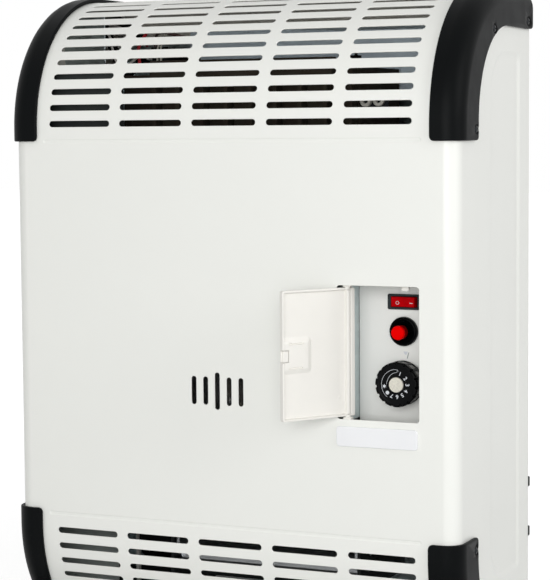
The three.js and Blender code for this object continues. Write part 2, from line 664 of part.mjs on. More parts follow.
/** The right trim at the top or the bottom. */
function trim(side) {
  const skin = casingForm(SEAT + TRIM_WALL, REAR, CASING_BOTTOM)
    .subtract(casingForm(SEAT, REAR + 1, CASING_BOTTOM - 1));
  const inner = HALF_WIDTH - TRIM_FRONT_WIDTH;
  const far = HALF_WIDTH + 10;
  const [low, high] = side > 0 ? [TOP_BEAD_Z, CASING_TOP + 10] : [CASING_BOTTOM, BOTTOM_BEAD_Z];
  const corner = skin.intersect(block([inner, FRONT - 10, low], [far, REAR, high]));
  return corner.subtract(prismX(bareSide(side), HALF_WIDTH - 1, far, 7)).subtract(trimScrewHoles());
}

function trimScrew() {
  const head = bar('x', TRIM_SCREW_HEAD_RADIUS, 0, TRIM_SCREW_HEAD_HEIGHT, [0, 0], 12);
  const shank = bar('x', TRIM_SCREW_RADIUS, -TRIM_SCREW_LENGTH, 1, [0, 0], 8);
  const [width, depth, length] = TRIM_SCREW_SLOT;
  const slot = block([TRIM_SCREW_HEAD_HEIGHT - depth, -width / 2, -length / 2],
    [TRIM_SCREW_HEAD_HEIGHT + 1, width / 2, length / 2]);
  return head.add(shank).subtract(slot);
}

const cover = new THREE.Group();
heater.add(cover);
add(cover, 'casing', casing(), whitePaint);

for (const [height, side] of [['top', 1], ['bottom', -1]]) {
  const right = trim(side);
  add(cover, `trim_${height}_right`, right, blackPlastic);
  add(cover, `trim_${height}_left`, right.mirror([1, 0, 0]), blackPlastic);
  trimScrewPlaces(side).forEach(([y, z], index) => {
    const x = HALF_WIDTH + 2 * SEAT + TRIM_WALL;
    const name = `trim_screw_${height}`;
    add(cover, `${name}_right_${index + 1}`, trimScrew(), darkScrew, [x, y, z]);
    add(cover, `${name}_left_${index + 1}`, trimScrew().mirror([1, 0, 0]), darkScrew, [-x, y, z]);
  });
}

function badgePlate() {
  const top = OPENING_BOTTOM - BADGE_GAP;
  const shape = roundedRectangle(OPENING_LEFT, top - BADGE_HEIGHT, OPENING_RIGHT - 1, top, BADGE_RADIUS);
  return prismY(shape, FRONT - SEAT - BADGE_THICKNESS, FRONT - SEAT, 3);
}
add(cover, 'badge_plate', badgePlate(), whitePlastic);

/** The clip behind the opening's top edge, with a pad that the shut door's rim comes to rest on. */
function stopClip() {
  const right = OPENING_RIGHT - STOP_CLIP_FROM_EDGE + STOP_CLIP_WIDTH / 2;
  const left = right - STOP_CLIP_WIDTH;
  const rimBack = FRONT + DOOR_PANEL + DOOR_RIM_HEIGHT + SEAT;
  const back = rimBack + STOP_CLIP_THICKNESS;
  const body = block([left, FRONT + SHEET + SEAT, OPENING_TOP + 0.5],
    [right, back, OPENING_TOP + STOP_CLIP_HEIGHT]);
  return body.add(block([left, rimBack, OPENING_TOP - STOP_CLIP_DROP], [right, back, OPENING_TOP + 1]));
}
add(cover, 'door_stop_clip', stopClip(), whitePlastic);

for (const [label, side] of [['right', 1], ['left', -1]]) {
  BUFFER_RISES.forEach((rise, index) => {
    const outer = HALF_WIDTH - SEAT;
    const pad = block([outer - BUFFER_WIDTH, REAR + SEAT, -BUFFER_HEIGHT / 2], [outer, 0, BUFFER_HEIGHT / 2]);
    const placed = side > 0 ? pad : pad.mirror([1, 0, 0]);
    add(cover, `wall_buffer_${label}_${index + 1}`, placed, rubber, [0, 0, CASING_BOTTOM + rise]);
  });
}

// ---------------------------------------------------------------- door
const HINGE_X = OPENING_LEFT + HINGE_INSET;
const HINGE_Y = FRONT + HINGE_DEPTH;
const DOOR_TOP = OPENING_TOP - DOOR_END_GAP;
const DOOR_BOTTOM = OPENING_BOTTOM + DOOR_END_GAP;
const DOOR_LEFT = DOOR_SIDE_GAP - HINGE_INSET; // from the hinge axis, with the door shut
const DOOR_RIGHT = OPENING_WIDTH - DOOR_SIDE_GAP - HINGE_INSET;
const DOOR_MIDDLE = (DOOR_TOP + DOOR_BOTTOM) / 2;
const DOOR_INNER = DOOR_PANEL - HINGE_DEPTH;

/** A span's two ends in rising order. */
const rising = (a, b) => [Math.min(a, b), Math.max(a, b)];

/** A hinge lug behind the casing's sheet, above or below the opening, with a bore for the pin. */
function hingeLug(side) {
  const edge = side > 0 ? OPENING_TOP : OPENING_BOTTOM;
  const back = FRONT + SHEET + SEAT;
  const [low, high] = rising(edge - side * HINGE_LUG_DROP, edge + side * HINGE_LUG_HEIGHT);
  const lug = block([HINGE_X - HINGE_LUG_HALF_WIDTH, back, low],
    [HINGE_X + HINGE_LUG_HALF_WIDTH, HINGE_Y + HINGE_LUG_BACK, high]);
  const [plateLow, plateHigh] = rising(edge + side, edge + side * HINGE_PLATE_HEIGHT);
  const plate = block([HINGE_X - HINGE_PLATE_HALF_WIDTH, back, plateLow],
    [HINGE_X + HINGE_PLATE_HALF_WIDTH, back + HINGE_PLATE_THICKNESS, plateHigh]);
  const bore = bar('z', HINGE_PIN_RADIUS + RUN, low - 1, high + 1, [HINGE_X, HINGE_Y], 16);
  return lug.add(plate).subtract(bore);
}
add(cover, 'door_hinge_upper', hingeLug(1), whitePlastic);
add(cover, 'door_hinge_lower', hingeLug(-1), whitePlastic);

const LATCH_TOP = LATCH_HOUSING_HEIGHT / 2;
const LATCH_RIGHT = DOOR_RIGHT - DOOR_RIM;
const LATCH_LEFT = LATCH_RIGHT - LATCH_HOUSING_WIDTH;
const LATCH_Y = SHEET - HINGE_DEPTH + SEAT; // front of the tongue, behind the casing's sheet
const LATCH_BACK = LATCH_Y + LATCH_TONGUE_THICKNESS;

/** A knuckle at the door's top or bottom edge, with the pin that turns in a lug. */
function doorKnuckle(side, half) {
  const end = side * half;
  const [low, high] = rising(end, end - side * HINGE_KNUCKLE_HEIGHT);
  const [pinLow, pinHigh] = rising(end - side, end + side * HINGE_PIN_REACH);
  const knuckle = bar('z', HINGE_KNUCKLE_RADIUS, low, high, [0, 0], 16);
  return knuckle.add(bar('z', HINGE_PIN_RADIUS, pinLow, pinHigh, [0, 0], 16));
}

/** The door about its hinge axis, shut, with its middle height at zero. */
function door() {
  const half = (DOOR_TOP - DOOR_BOTTOM) / 2;
  const outline = roundedRectangle(DOOR_LEFT, -half, DOOR_RIGHT, half, DOOR_RADIUS);
  const plate = prismY(outline, -HINGE_DEPTH, DOOR_INNER, 2);
  const rimBack = DOOR_INNER + DOOR_RIM_HEIGHT;
  const rim = prismY(outline, -HINGE_DEPTH, rimBack, 2);
  const inside = block([DOOR_LEFT + DOOR_RIM, DOOR_INNER, DOOR_RIM - half],
    [DOOR_RIGHT - DOOR_RIM, rimBack + 1, half - DOOR_RIM]);
  const ribLeft = HINGE_KNUCKLE_RADIUS + 1;
  const rib = block([ribLeft, DOOR_INNER - 0.5, 1 - half], [ribLeft + DOOR_RIM, rimBack, half - 1]);
  const housing = block([LATCH_LEFT, DOOR_INNER - 0.5, -LATCH_TOP],
    [LATCH_RIGHT + 0.5, LATCH_BACK + LATCH_WALL, LATCH_TOP]);
  const channelHalf = LATCH_TONGUE_WIDTH / 2 + RUN;
  const channel = block([LATCH_LEFT + LATCH_WALL, LATCH_Y - SEAT, -channelHalf],
    [DOOR_RIGHT + 1, LATCH_BACK + SEAT, channelHalf]);
  const window = block([LATCH_LEFT + LATCH_WALL + LATCH_TRAVEL, LATCH_Y, LATCH_WINDOW_INSET - channelHalf],
    [LATCH_RIGHT - LATCH_WINDOW_FROM_EDGE, LATCH_BACK + LATCH_WALL + 1, channelHalf - LATCH_WINDOW_INSET]);
  const knuckles = joined([doorKnuckle(1, half), doorKnuckle(-1, half)]);
  return rim.subtract(inside).add(plate).add(rib).add(housing).add(knuckles)
    .subtract(channel).subtract(window);
}

/** The sliding tongue that holds the door shut, with a thumb bar in the housing's window. */
function latch() {
  const half = LATCH_TONGUE_WIDTH / 2;
  const start = LATCH_LEFT + LATCH_WALL + LATCH_TRAVEL + SEAT;
  const tongue = block([start, LATCH_Y, -half], [DOOR_RIGHT + DOOR_SIDE_GAP + LATCH_REACH, LATCH_BACK, half]);
  const barLeft = start + LATCH_BAR_INSET;
  const thumb = block([barLeft, LATCH_Y + 0.5, LATCH_BAR_MARGIN - half],
    [barLeft + LATCH_BAR_WIDTH, LATCH_BACK + LATCH_BAR_PROUD, half - LATCH_BAR_MARGIN]);
  return tongue.add(thumb);
}

const leaf = new THREE.Group();
leaf.position.set(HINGE_X, HINGE_Y, DOOR_MIDDLE);
leaf.rotation.z = -DOOR_OPEN_ANGLE * DEGREES;
cover.add(leaf);
add(leaf, 'door', door(), whitePlastic);
add(leaf, 'door_latch', latch(), whitePlastic);

// ---------------------------------------------------------------- control panel
/** The painted bracket that carries the controls, bent back at its left and right. */
function controlPanel() {
  const face = block([PANEL_LEFT, PANEL_Y, PANEL_BOTTOM], [PANEL_RIGHT, PANEL_BACK, PANEL_TOP]);
  const lip = block([PANEL_LEFT, PANEL_Y, PANEL_BOTTOM],
    [PANEL_LEFT + SHEET, PANEL_BACK + PANEL_LIP, PANEL_TOP]);
  const side = block([PANEL_RIGHT - SHEET, PANEL_Y, PANEL_BOTTOM],
    [PANEL_RIGHT, REAR_PANEL_Y - SEAT, PANEL_TOP]);
  const halfWidth = SWITCH_BODY_WIDTH / 2 + SEAT;
  const halfHeight = SWITCH_BODY_HEIGHT / 2 + SEAT;
  const switchHole = block([CONTROLS_X - halfWidth, PANEL_Y - 1, SWITCH_Z - halfHeight],
    [CONTROLS_X + halfWidth, PANEL_BACK + 1, SWITCH_Z + halfHeight]);
  const igniterHole = bar('y', PIEZO_BODY_RADIUS + SEAT, PANEL_Y - 1, PANEL_BACK + 1, [CONTROLS_X, PIEZO_Z]);
  const spindlePlace = [CONTROLS_X, KNOB_Z];
  const spindleHole = bar('y', SPINDLE_RADIUS + SPINDLE_ROOM, PANEL_Y - 1, PANEL_BACK + 1, spindlePlace);
  return face.add(lip).add(side).subtract(switchHole).subtract(igniterHole).subtract(spindleHole);
}
const controls = new THREE.Group();
heater.add(controls);
add(controls, 'control_panel', controlPanel(), greyPaint);

/** The switch's frame and body, with the pocket that its rocker tips in. */
function switchBody() {
  const front = -SEAT - SWITCH_BEZEL_THICKNESS;
  const halfWidth = SWITCH_BEZEL_WIDTH / 2;
  const halfHeight = SWITCH_BEZEL_HEIGHT / 2;
  const outline = roundedRectangle(-halfWidth, -halfHeight, halfWidth, halfHeight, SWITCH_BEZEL_RADIUS);
  const frame = prismY(outline, front, -SEAT, 2);
  const body = block([-SWITCH_BODY_WIDTH / 2, -SEAT - 1, -SWITCH_BODY_HEIGHT / 2],
    [SWITCH_BODY_WIDTH / 2, SWITCH_BODY_DEPTH, SWITCH_BODY_HEIGHT / 2]);
  const pocketHalf = ROCKER_WIDTH / 2 + RUN;
  const pocket = block([-pocketHalf, front - 1, -ROCKER_HEIGHT / 2 - RUN],
    [pocketHalf, front + ROCKER_DEPTH + SWITCH_POCKET_ROOM, ROCKER_HEIGHT / 2 + RUN]);
  return frame.add(body).subtract(pocket);
}

/** The rocker in plan: two faces that meet in a shallow dip, about its pivot. */
function rocker() {
  const half = ROCKER_WIDTH / 2 - RUN;
  const proud = -ROCKER_DEPTH / 2 - ROCKER_PROUD;
  const slope = half * Math.tan(ROCKER_ANGLE * DEGREES);
  const shape = new THREE.Shape();
  shape.moveTo(-half, proud - slope);
  shape.lineTo(0, proud);
  shape.lineTo(half, proud - slope);
  shape.lineTo(half - 1, 1);
  shape.lineTo(0, ROCKER_DEPTH / 2);
  shape.lineTo(1 - half, 1);
  return prismZ(shape, -ROCKER_HEIGHT / 2, ROCKER_HEIGHT / 2);
}
add(controls, 'rocker_switch', switchBody(), blackPlastic, [CONTROLS_X, PANEL_Y, SWITCH_Z]);
const rockerMesh = add(controls, 'switch_rocker', rocker(), redPlastic);
rockerMesh.position.set(CONTROLS_X, PANEL_Y - SWITCH_BEZEL_THICKNESS + ROCKER_DEPTH / 2, SWITCH_Z);
rockerMesh.rotation.z = -ROCKER_ANGLE * DEGREES;

/** The igniter's round bezel and body, bored for its button. */
function piezoIgniter() {
  const front = -SEAT - PIEZO_BEZEL_THICKNESS;
  const bezel = turnedY([[0, -SEAT], [PIEZO_BEZEL_RADIUS, -SEAT], [PIEZO_BEZEL_RADIUS, front + PIEZO_CHAMFER],
    [PIEZO_BEZEL_RADIUS - PIEZO_CHAMFER, front], [0, front]], 32);
  const body = bar('y', PIEZO_BODY_RADIUS, -SEAT - 1, PIEZO_BODY_LENGTH, [0, 0]);
  const bore = bar('y', PIEZO_BUTTON_RADIUS + RUN, front - 1, PIEZO_TRAVEL + PIEZO_BUTTON_ROOT + 1, [0, 0]);
  return bezel.add(body).subtract(bore);
}

function piezoButton() {
  const front = -SEAT - PIEZO_BEZEL_THICKNESS - PIEZO_BUTTON_PROUD;
  return turnedY([[0, PIEZO_BUTTON_ROOT], [PIEZO_BUTTON_RADIUS, PIEZO_BUTTON_ROOT],
    [PIEZO_BUTTON_RADIUS, front + 1], [PIEZO_BUTTON_RADIUS - 1, front], [0, front]], 24);
}
add(controls, 'piezo_igniter', piezoIgniter(), blackPlastic, [CONTROLS_X, PANEL_Y, PIEZO_Z]);
add(controls, 'piezo_button', piezoButton(), redPlastic, [CONTROLS_X, PANEL_Y, PIEZO_Z]);

const KNOB_BORE_DEPTH = KNOB_DEPTH - KNOB_FACE - KNOB_CAP_THICKNESS;

/** The knob about its axis, its back at zero: a cup with a hub, rim notches and skirt panels. */
function controlKnob() {
  const front = -KNOB_DEPTH;
  const cup = turnedY([[0, 0], [KNOB_RADIUS, 0], [KNOB_RADIUS, front + KNOB_CHAMFER],
    [KNOB_RADIUS - KNOB_CHAMFER, front], [0, front]], 45);
  const hollow = bar('y', KNOB_RADIUS - KNOB_WALL, front + KNOB_FACE, 1, [0, 0])
    .subtract(bar('y', KNOB_HUB_RADIUS, front, 2, [0, 0]));
  const bore = bar('y', SPINDLE_RADIUS + SEAT, -KNOB_BORE_DEPTH, 1, [0, 0]);
  const seat = bar('y', KNOB_CAP_RADIUS + SEAT, front - 1, front + KNOB_CAP_THICKNESS, [0, 0]);
  const cuts = [];
  const [panelDepth, panelLength, panelWidth] = KNOB_PANEL;
  for (let i = 0; i < KNOB_NOTCHES; i++) {
    const angle = (i * 2 * Math.PI) / KNOB_NOTCHES;
    const notch = new THREE.BoxGeometry(3, 4, KNOB_NOTCH).translate(KNOB_RADIUS, front + 1, 0);
    const panel = new THREE.BoxGeometry(2 * panelDepth, panelLength, panelWidth);
    panel.translate(KNOB_RADIUS, -KNOB_PANEL_MIDDLE, 0);
    cuts.push(solid(notch.rotateY(angle)), solid(panel.rotateY(angle + Math.PI / KNOB_NOTCHES)));
  }
  return cup.subtract(hollow).subtract(bore).subtract(seat).subtract(joined(cuts));
}

const knobAxis = new THREE.Group();
knobAxis.position.set(CONTROLS_X, PANEL_Y - KNOB_GAP, KNOB_Z);
controls.add(knobAxis);
add(knobAxis, 'control_knob', controlKnob(), blackPlastic);
const capSeat = KNOB_CAP_THICKNESS - SEAT - KNOB_DEPTH;
const cap = bar('y', KNOB_CAP_RADIUS, capSeat - KNOB_CAP_THICKNESS, capSeat, [0, 0]);
add(knobAxis, 'knob_cap', cap, creamPlastic);

// ---------------------------------------------------------------- gas valve and pipes
const VALVE_FRONT = PANEL_BACK + VALVE_BOSS_LENGTH;
const VALVE_BACK = VALVE_FRONT + VALVE_DEPTH;
const VALVE_LEFT = CONTROLS_X - VALVE_WIDTH / 2;
const VALVE_BOTTOM = KNOB_Z - VALVE_HEIGHT / 2;
const SPINDLE_BORE_END = VALVE_FRONT + SPINDLE_BORE;
const INLET = [CONTROLS_X + GAS_INLET_ASIDE, VALVE_FRONT + GAS_INLET_BACK];
const INLET_Z = CASING_BOTTOM + GAS_INLET_RISE;

function gasValve() {
  const body = block([VALVE_LEFT, VALVE_FRONT, VALVE_BOTTOM],
    [VALVE_LEFT + VALVE_WIDTH, VALVE_BACK, VALVE_BOTTOM + VALVE_HEIGHT]);
  const boss = bar('y', VALVE_BOSS_RADIUS, PANEL_BACK + SEAT, VALVE_FRONT + 1, [CONTROLS_X, KNOB_Z]);
  const step = block([VALVE_LEFT + VALVE_STEP, VALVE_BACK - 1, VALVE_BOTTOM + VALVE_STEP],
    [VALVE_LEFT + VALVE_WIDTH - VALVE_STEP, VALVE_BACK + VALVE_STEP_DEPTH,
      VALVE_BOTTOM + VALVE_HEIGHT - VALVE_STEP]);
  const collarEnd = VALVE_BOTTOM - VALVE_COLLAR_LENGTH;
  const collar = bar('z', GAS_PIPE_RADIUS + VALVE_COLLAR_WALL, collarEnd, VALVE_BOTTOM + 1, INLET);
  const socket = bar('z', GAS_PIPE_RADIUS + SEAT, collarEnd - 1, VALVE_BOTTOM, INLET);
  const bore = bar('y', SPINDLE_RADIUS + SEAT, PANEL_BACK, SPINDLE_BORE_END, [CONTROLS_X, KNOB_Z]);
  return body.add(boss).add(step).add(collar).subtract(socket).subtract(bore);
}
const gasTrain = new THREE.Group();
heater.add(gasTrain);
add(gasTrain, 'gas_valve', gasValve(), dieCast);

const spindleFront = PANEL_Y - KNOB_GAP - KNOB_BORE_DEPTH + SEAT;
const spindleBack = SPINDLE_BORE_END - KNOB_GAP - SEAT;
const spindle = bar('y', SPINDLE_RADIUS, spindleFront, spindleBack, [CONTROLS_X, KNOB_Z]);
add(gasTrain, 'valve_spindle', spindle, brass);

const INLET_PIPE_END = INLET_Z + GAS_NUT_SHOULDER;
const inletPipe = tube('z', GAS_PIPE_RADIUS, GAS_PIPE_WALL, INLET_PIPE_END, VALVE_BOTTOM - SEAT, INLET);
add(gasTrain, 'gas_inlet_pipe', inletPipe, steel);

function inletNut() {
  const hexagon = bar('z', GAS_NUT_RADIUS, INLET_Z, INLET_Z + GAS_NUT_HEIGHT, INLET, 6);
  const throat = bar('z', GAS_PIPE_RADIUS - GAS_PIPE_WALL, INLET_Z - 1, INLET_PIPE_END + 1, INLET);
  const socket = bar('z', GAS_PIPE_RADIUS + SEAT, INLET_PIPE_END - SEAT, INLET_Z + GAS_NUT_HEIGHT + 1, INLET);
  return hexagon.subtract(throat).subtract(socket);
}
add(gasTrain, 'gas_inlet_nut', inletNut(), brass);

// ---------------------------------------------------------------- heat exchanger
const EXCHANGER_HALF = HALF_WIDTH - EXCHANGER_FROM_SIDE;
const EXCHANGER_FRONT = FRONT + EXCHANGER_FROM_FRONT;
const EXCHANGER_REAR = REAR - EXCHANGER_FROM_REAR;
const EXCHANGER_TOP = CASING_TOP - EXCHANGER_FROM_TOP;
const EXCHANGER_BOTTOM = CASING_BOTTOM + EXCHANGER_FROM_BOTTOM;
const FIREBOX_TOP = EXCHANGER_BOTTOM + FIREBOX_HEIGHT;
const ROOM_HALF = EXCHANGER_HALF - EXCHANGER_WALL;
const COVER_BACK = EXCHANGER_FRONT - SEAT;
const COVER_FRONT = COVER_BACK - COVER_THICKNESS;
const BURNER_END = ROOM_HALF - BURNER_WALL_GAP;
const BURNER_BAR = [BURNER_FREE_END - ROOM_HALF, BURNER_END - BURNER_NECK];
const BURNER = [EXCHANGER_FRONT + BURNER_BACK, EXCHANGER_BOTTOM + BURNER_RISE];
const PILOT_PIPE_X = ROOM_HALF - PILOT_FROM_WALL;
const ELECTRODE_X = PILOT_PIPE_X - PILOT_SPACING;
const THERMOCOUPLE_X = PILOT_PIPE_X + PILOT_SPACING;
const PILOT_Z = BURNER[1] + PILOT_RISE;
const AIR_PORT_Z = EXCHANGER_BOTTOM + AIR_PORT_RISE;

/** The opening for air through the exchanger's back and the duct behind it. */
function airPort(y0, y1) {
  const half = AIR_PORT_WIDTH / 2;
  return block([-half, y0, AIR_PORT_Z - AIR_PORT_HEIGHT / 2], [half, y1, AIR_PORT_Z + AIR_PORT_HEIGHT / 2]);
}

/** The cast body: an open-fronted firebox below, ribs above, and ports at its back. */
function heatExchanger() {
  const body = block([-EXCHANGER_HALF, EXCHANGER_FRONT, EXCHANGER_BOTTOM],
    [EXCHANGER_HALF, EXCHANGER_REAR, EXCHANGER_TOP]);
  const room = block([-ROOM_HALF, EXCHANGER_FRONT + EXCHANGER_WALL, EXCHANGER_BOTTOM + EXCHANGER_WALL],
    [ROOM_HALF, EXCHANGER_REAR - EXCHANGER_WALL, EXCHANGER_TOP - EXCHANGER_WALL]);
  const mouthHalf = EXCHANGER_HALF - FIREBOX_MARGIN;
  const mouth = block([-mouthHalf, EXCHANGER_FRONT - 1, EXCHANGER_BOTTOM + FIREBOX_MARGIN],
    [mouthHalf, EXCHANGER_FRONT + EXCHANGER_WALL + 1, FIREBOX_TOP - FIREBOX_MARGIN]);
  const ribsBeside = Math.floor((EXCHANGER_HALF - EXCHANGER_RIB_WIDTH / 2) / EXCHANGER_RIB_PITCH);
  const ribs = [];
  for (let i = -ribsBeside; i <= ribsBeside; i++) {
    const left = i * EXCHANGER_RIB_PITCH - EXCHANGER_RIB_WIDTH / 2;
    ribs.push(block([left, EXCHANGER_FRONT - EXCHANGER_RIB_DEPTH, FIREBOX_TOP + EXCHANGER_RIB_RISE],
      [left + EXCHANGER_RIB_WIDTH, EXCHANGER_FRONT + 1, EXCHANGER_TOP]));
  }
  const wall = EXCHANGER_REAR - EXCHANGER_WALL - 1;
  const flue = bar('y', EXHAUST_RADIUS - DUCT_WALL, wall, EXCHANGER_REAR + 1, [0, FLUE_Z]);
  const feed = bar('x', FEED_PIPE_RADIUS + SEAT, ROOM_HALF - 1, EXCHANGER_HALF + 1, BURNER);
  return body.subtract(room).subtract(mouth).add(joined(ribs)).subtract(flue)
    .subtract(airPort(wall, EXCHANGER_REAR + 1)).subtract(feed);
}

/** The plate that shuts the firebox, with a round window and three small ports at its foot. */
function combustionCover() {
  const plate = block([-EXCHANGER_HALF, COVER_FRONT, EXCHANGER_BOTTOM],
    [EXCHANGER_HALF, COVER_BACK, FIREBOX_TOP]);
  const window = bar('y', WINDOW_RADIUS, COVER_FRONT - 1, EXCHANGER_FRONT, [VIEW_SLOT_X, VIEW_SLOT_Z], 32);
  const ports = [ELECTRODE_X, PILOT_PIPE_X, THERMOCOUPLE_X].map((x) => (
    bar('y', SMALL_PIPE_RADIUS + SEAT, COVER_FRONT - 1, EXCHANGER_FRONT, [x, PILOT_Z], 8)));
  return plate.subtract(window).subtract(joined(ports));
}

const core = new THREE.Group();
heater.add(core);
add(core, 'heat_exchanger', heatExchanger(), castIron);
add(core, 'combustion_cover', combustionCover(), steel);

const RING_BACK = COVER_FRONT - SEAT;
const GLASS_FRONT = RING_BACK - GLASS_THICKNESS;
const GLASS_RADIUS = WINDOW_RADIUS + WINDOW_RING_WIDTH / 2;
const WINDOW = [VIEW_SLOT_X, VIEW_SLOT_Z];

function windowRing() {
  const outer = WINDOW_RADIUS + WINDOW_RING_WIDTH;
  const front = GLASS_FRONT - WINDOW_RING_THICKNESS;
  const ring = tube('y', outer, WINDOW_RING_WIDTH, front, RING_BACK, WINDOW, 32);
  return ring.subtract(bar('y', GLASS_RADIUS + SEAT, GLASS_FRONT - SEAT, RING_BACK + 1, WINDOW, 32));
}
add(core, 'window_ring', windowRing(), steel);
const glass = bar('y', GLASS_RADIUS, GLASS_FRONT, RING_BACK - SEAT / 2, WINDOW, 32);
add(core, 'window_glass', glass, windowGlass);

/** The burner bar along X, with its flame ports and the feet that stand on the firebox floor. */
function mainBurner() {
  const [start, end] = BURNER_BAR;
  const [y, z] = BURNER;
  const body = bar('x', BURNER_RADIUS, start, end, BURNER);
  const neckRadius = FEED_PIPE_RADIUS + BURNER_NECK_WALL;
  const neck = tube('x', neckRadius, BURNER_NECK_WALL - RUN, end - 12, BURNER_END, BURNER);
  const ports = [];
  const portPitch = (end - start - BURNER_PORT_MARGIN[0] - BURNER_PORT_MARGIN[1]) / (BURNER_PORTS - 1);
  for (let i = 0; i < BURNER_PORTS; i++) {
    const x = start + BURNER_PORT_MARGIN[0] + i * portPitch;
    ports.push(block([x - BURNER_PORT_WIDTH / 2, y - BURNER_PORT_LENGTH / 2, z + BURNER_RADIUS - 4],
      [x + BURNER_PORT_WIDTH / 2, y + BURNER_PORT_LENGTH / 2, z + BURNER_RADIUS + 1]));
  }
  const floor = EXCHANGER_BOTTOM + EXCHANGER_WALL + SEAT;
  const feet = [start + BURNER_FOOT, end - 3 * BURNER_FOOT].map((x) => (
    block([x, y - BURNER_FOOT, floor], [x + BURNER_FOOT, y + BURNER_FOOT, z])));
  const throat = bar('x', FEED_PIPE_RADIUS + SEAT, end - BURNER_FOOT, BURNER_END + 1, BURNER);
  return body.add(neck).add(joined(feet)).subtract(joined(ports)).subtract(throat);
}
add(core, 'main_burner', mainBurner(), steel);

const PILOT_HEAD_FRONT = BURNER[0] - BURNER_RADIUS * 2;
const PILOT_PIPE_FRONT = COVER_FRONT - PILOT_PIPE_REACH;

/** The pilot head, on its pipe through the firebox cover. */
function pilotBurner() {
  const place = [PILOT_PIPE_X, PILOT_Z];
  const pipe = bar('y', SMALL_PIPE_RADIUS, PILOT_PIPE_FRONT, PILOT_HEAD_FRONT + 8, place, 8);
  const head = block([PILOT_PIPE_X - 4, PILOT_HEAD_FRONT, PILOT_Z - 4],
    [PILOT_PIPE_X + 4, PILOT_HEAD_FRONT + 12, PILOT_Z + 10]);
  const collar = bar('y', 4.5, COVER_FRONT - SEAT - 4, COVER_FRONT - SEAT, place, 6);
  return pipe.add(head).add(collar);
}

/** A probe through the firebox cover, with its collar outside: the electrode or the thermocouple. */
function probe(x, collarRadius, collarLength) {
  const front = COVER_FRONT - SEAT - collarLength;
  const rod = bar('y', SMALL_PIPE_RADIUS, front, PILOT_HEAD_FRONT + 6, [x, PILOT_Z], 8);
  return rod.add(bar('y', collarRadius, front, COVER_FRONT - SEAT, [x, PILOT_Z], 12));
}
add(core, 'pilot_burner', pilotBurner(), brass);
add(core, 'ignition_electrode', probe(ELECTRODE_X, 4, ELECTRODE_COLLAR), ceramic);
add(core, 'thermocouple', probe(THERMOCOUPLE_X, 3.5, 7), brass);

// Pipes and leads between the valve, the igniter and the firebox, each as the points that it runs through.
const VALVE_SIDE = VALVE_LEFT - SEAT;
const [BURNER_Y, BURNER_Z] = BURNER;
const feedY = VALVE_FRONT + GAS_INLET_BACK;
const feedZ = VALVE_BOTTOM + 12;
const feedX = EXCHANGER_HALF + 16;
const feedRoute = [[VALVE_SIDE, feedY, feedZ], [VALVE_SIDE - 6, feedY, feedZ], [feedX, feedY + 6, feedZ - 18],
  [feedX, BURNER_Y - 12, BURNER_Z + 14], [feedX - 6, BURNER_Y, BURNER_Z],
  [EXCHANGER_HALF + 2, BURNER_Y, BURNER_Z], [BURNER_END - 4, BURNER_Y, BURNER_Z]];
add(gasTrain, 'burner_feed_pipe', bentTube(feedRoute, FEED_PIPE_RADIUS, 24, 8), dieCast);

const pilotStart = PILOT_PIPE_FRONT - SEAT;
const pilotY = VALVE_FRONT + 17.8;
const pilotZ = VALVE_BOTTOM + 6;
const pilotRoute = [[PILOT_PIPE_X, pilotStart, PILOT_Z], [PILOT_PIPE_X + 1, pilotStart - 7, PILOT_Z],
  [THERMOCOUPLE_X + 8, pilotStart - 11, PILOT_Z - 2], [EXCHANGER_HALF + 4, pilotStart - 4, PILOT_Z + 2],
  [EXCHANGER_HALF + 18, pilotY, PILOT_Z + 15], [EXCHANGER_HALF + 22, pilotY + 4, pilotZ - 14],
  [VALVE_SIDE - 2, pilotY, pilotZ], [VALVE_SIDE, pilotY, pilotZ]];
add(gasTrain, 'pilot_pipe', bentTube(pilotRoute, SMALL_PIPE_RADIUS, 30, 6), dieCast);

const electrodeFront = COVER_FRONT - 2 * SEAT - ELECTRODE_COLLAR;
const piezoBack = PANEL_Y + PIEZO_BODY_LENGTH + SEAT;
const leadRoute = [[ELECTRODE_X, electrodeFront, PILOT_Z], [ELECTRODE_X, electrodeFront - 5, PILOT_Z],
  [ELECTRODE_X + 14, electrodeFront - 12, PILOT_Z + 20],
  [EXCHANGER_HALF - 8, electrodeFront - 2, PILOT_Z + 36],
  [EXCHANGER_HALF + 5, piezoBack - 17, PIEZO_Z - 44], [EXCHANGER_HALF + 8, piezoBack + 1, PIEZO_Z - 14],
  [EXCHANGER_HALF + 22, piezoBack + 13, PIEZO_Z + 2], [CONTROLS_X - 14, piezoBack + 14, PIEZO_Z + 1],
  [CONTROLS_X, piezoBack + 7, PIEZO_Z], [CONTROLS_X, piezoBack, PIEZO_Z]];
add(gasTrain, 'ignition_lead', bentTube(leadRoute, LEAD_RADIUS, 44, 6), rubber);

// ---------------------------------------------------------------- flue and rear panel
const FLUE = [0, FLUE_Z];
const GLAND = [HALF_WIDTH - GLAND_FROM_SIDE, CASING_BOTTOM + GLAND_RISE];

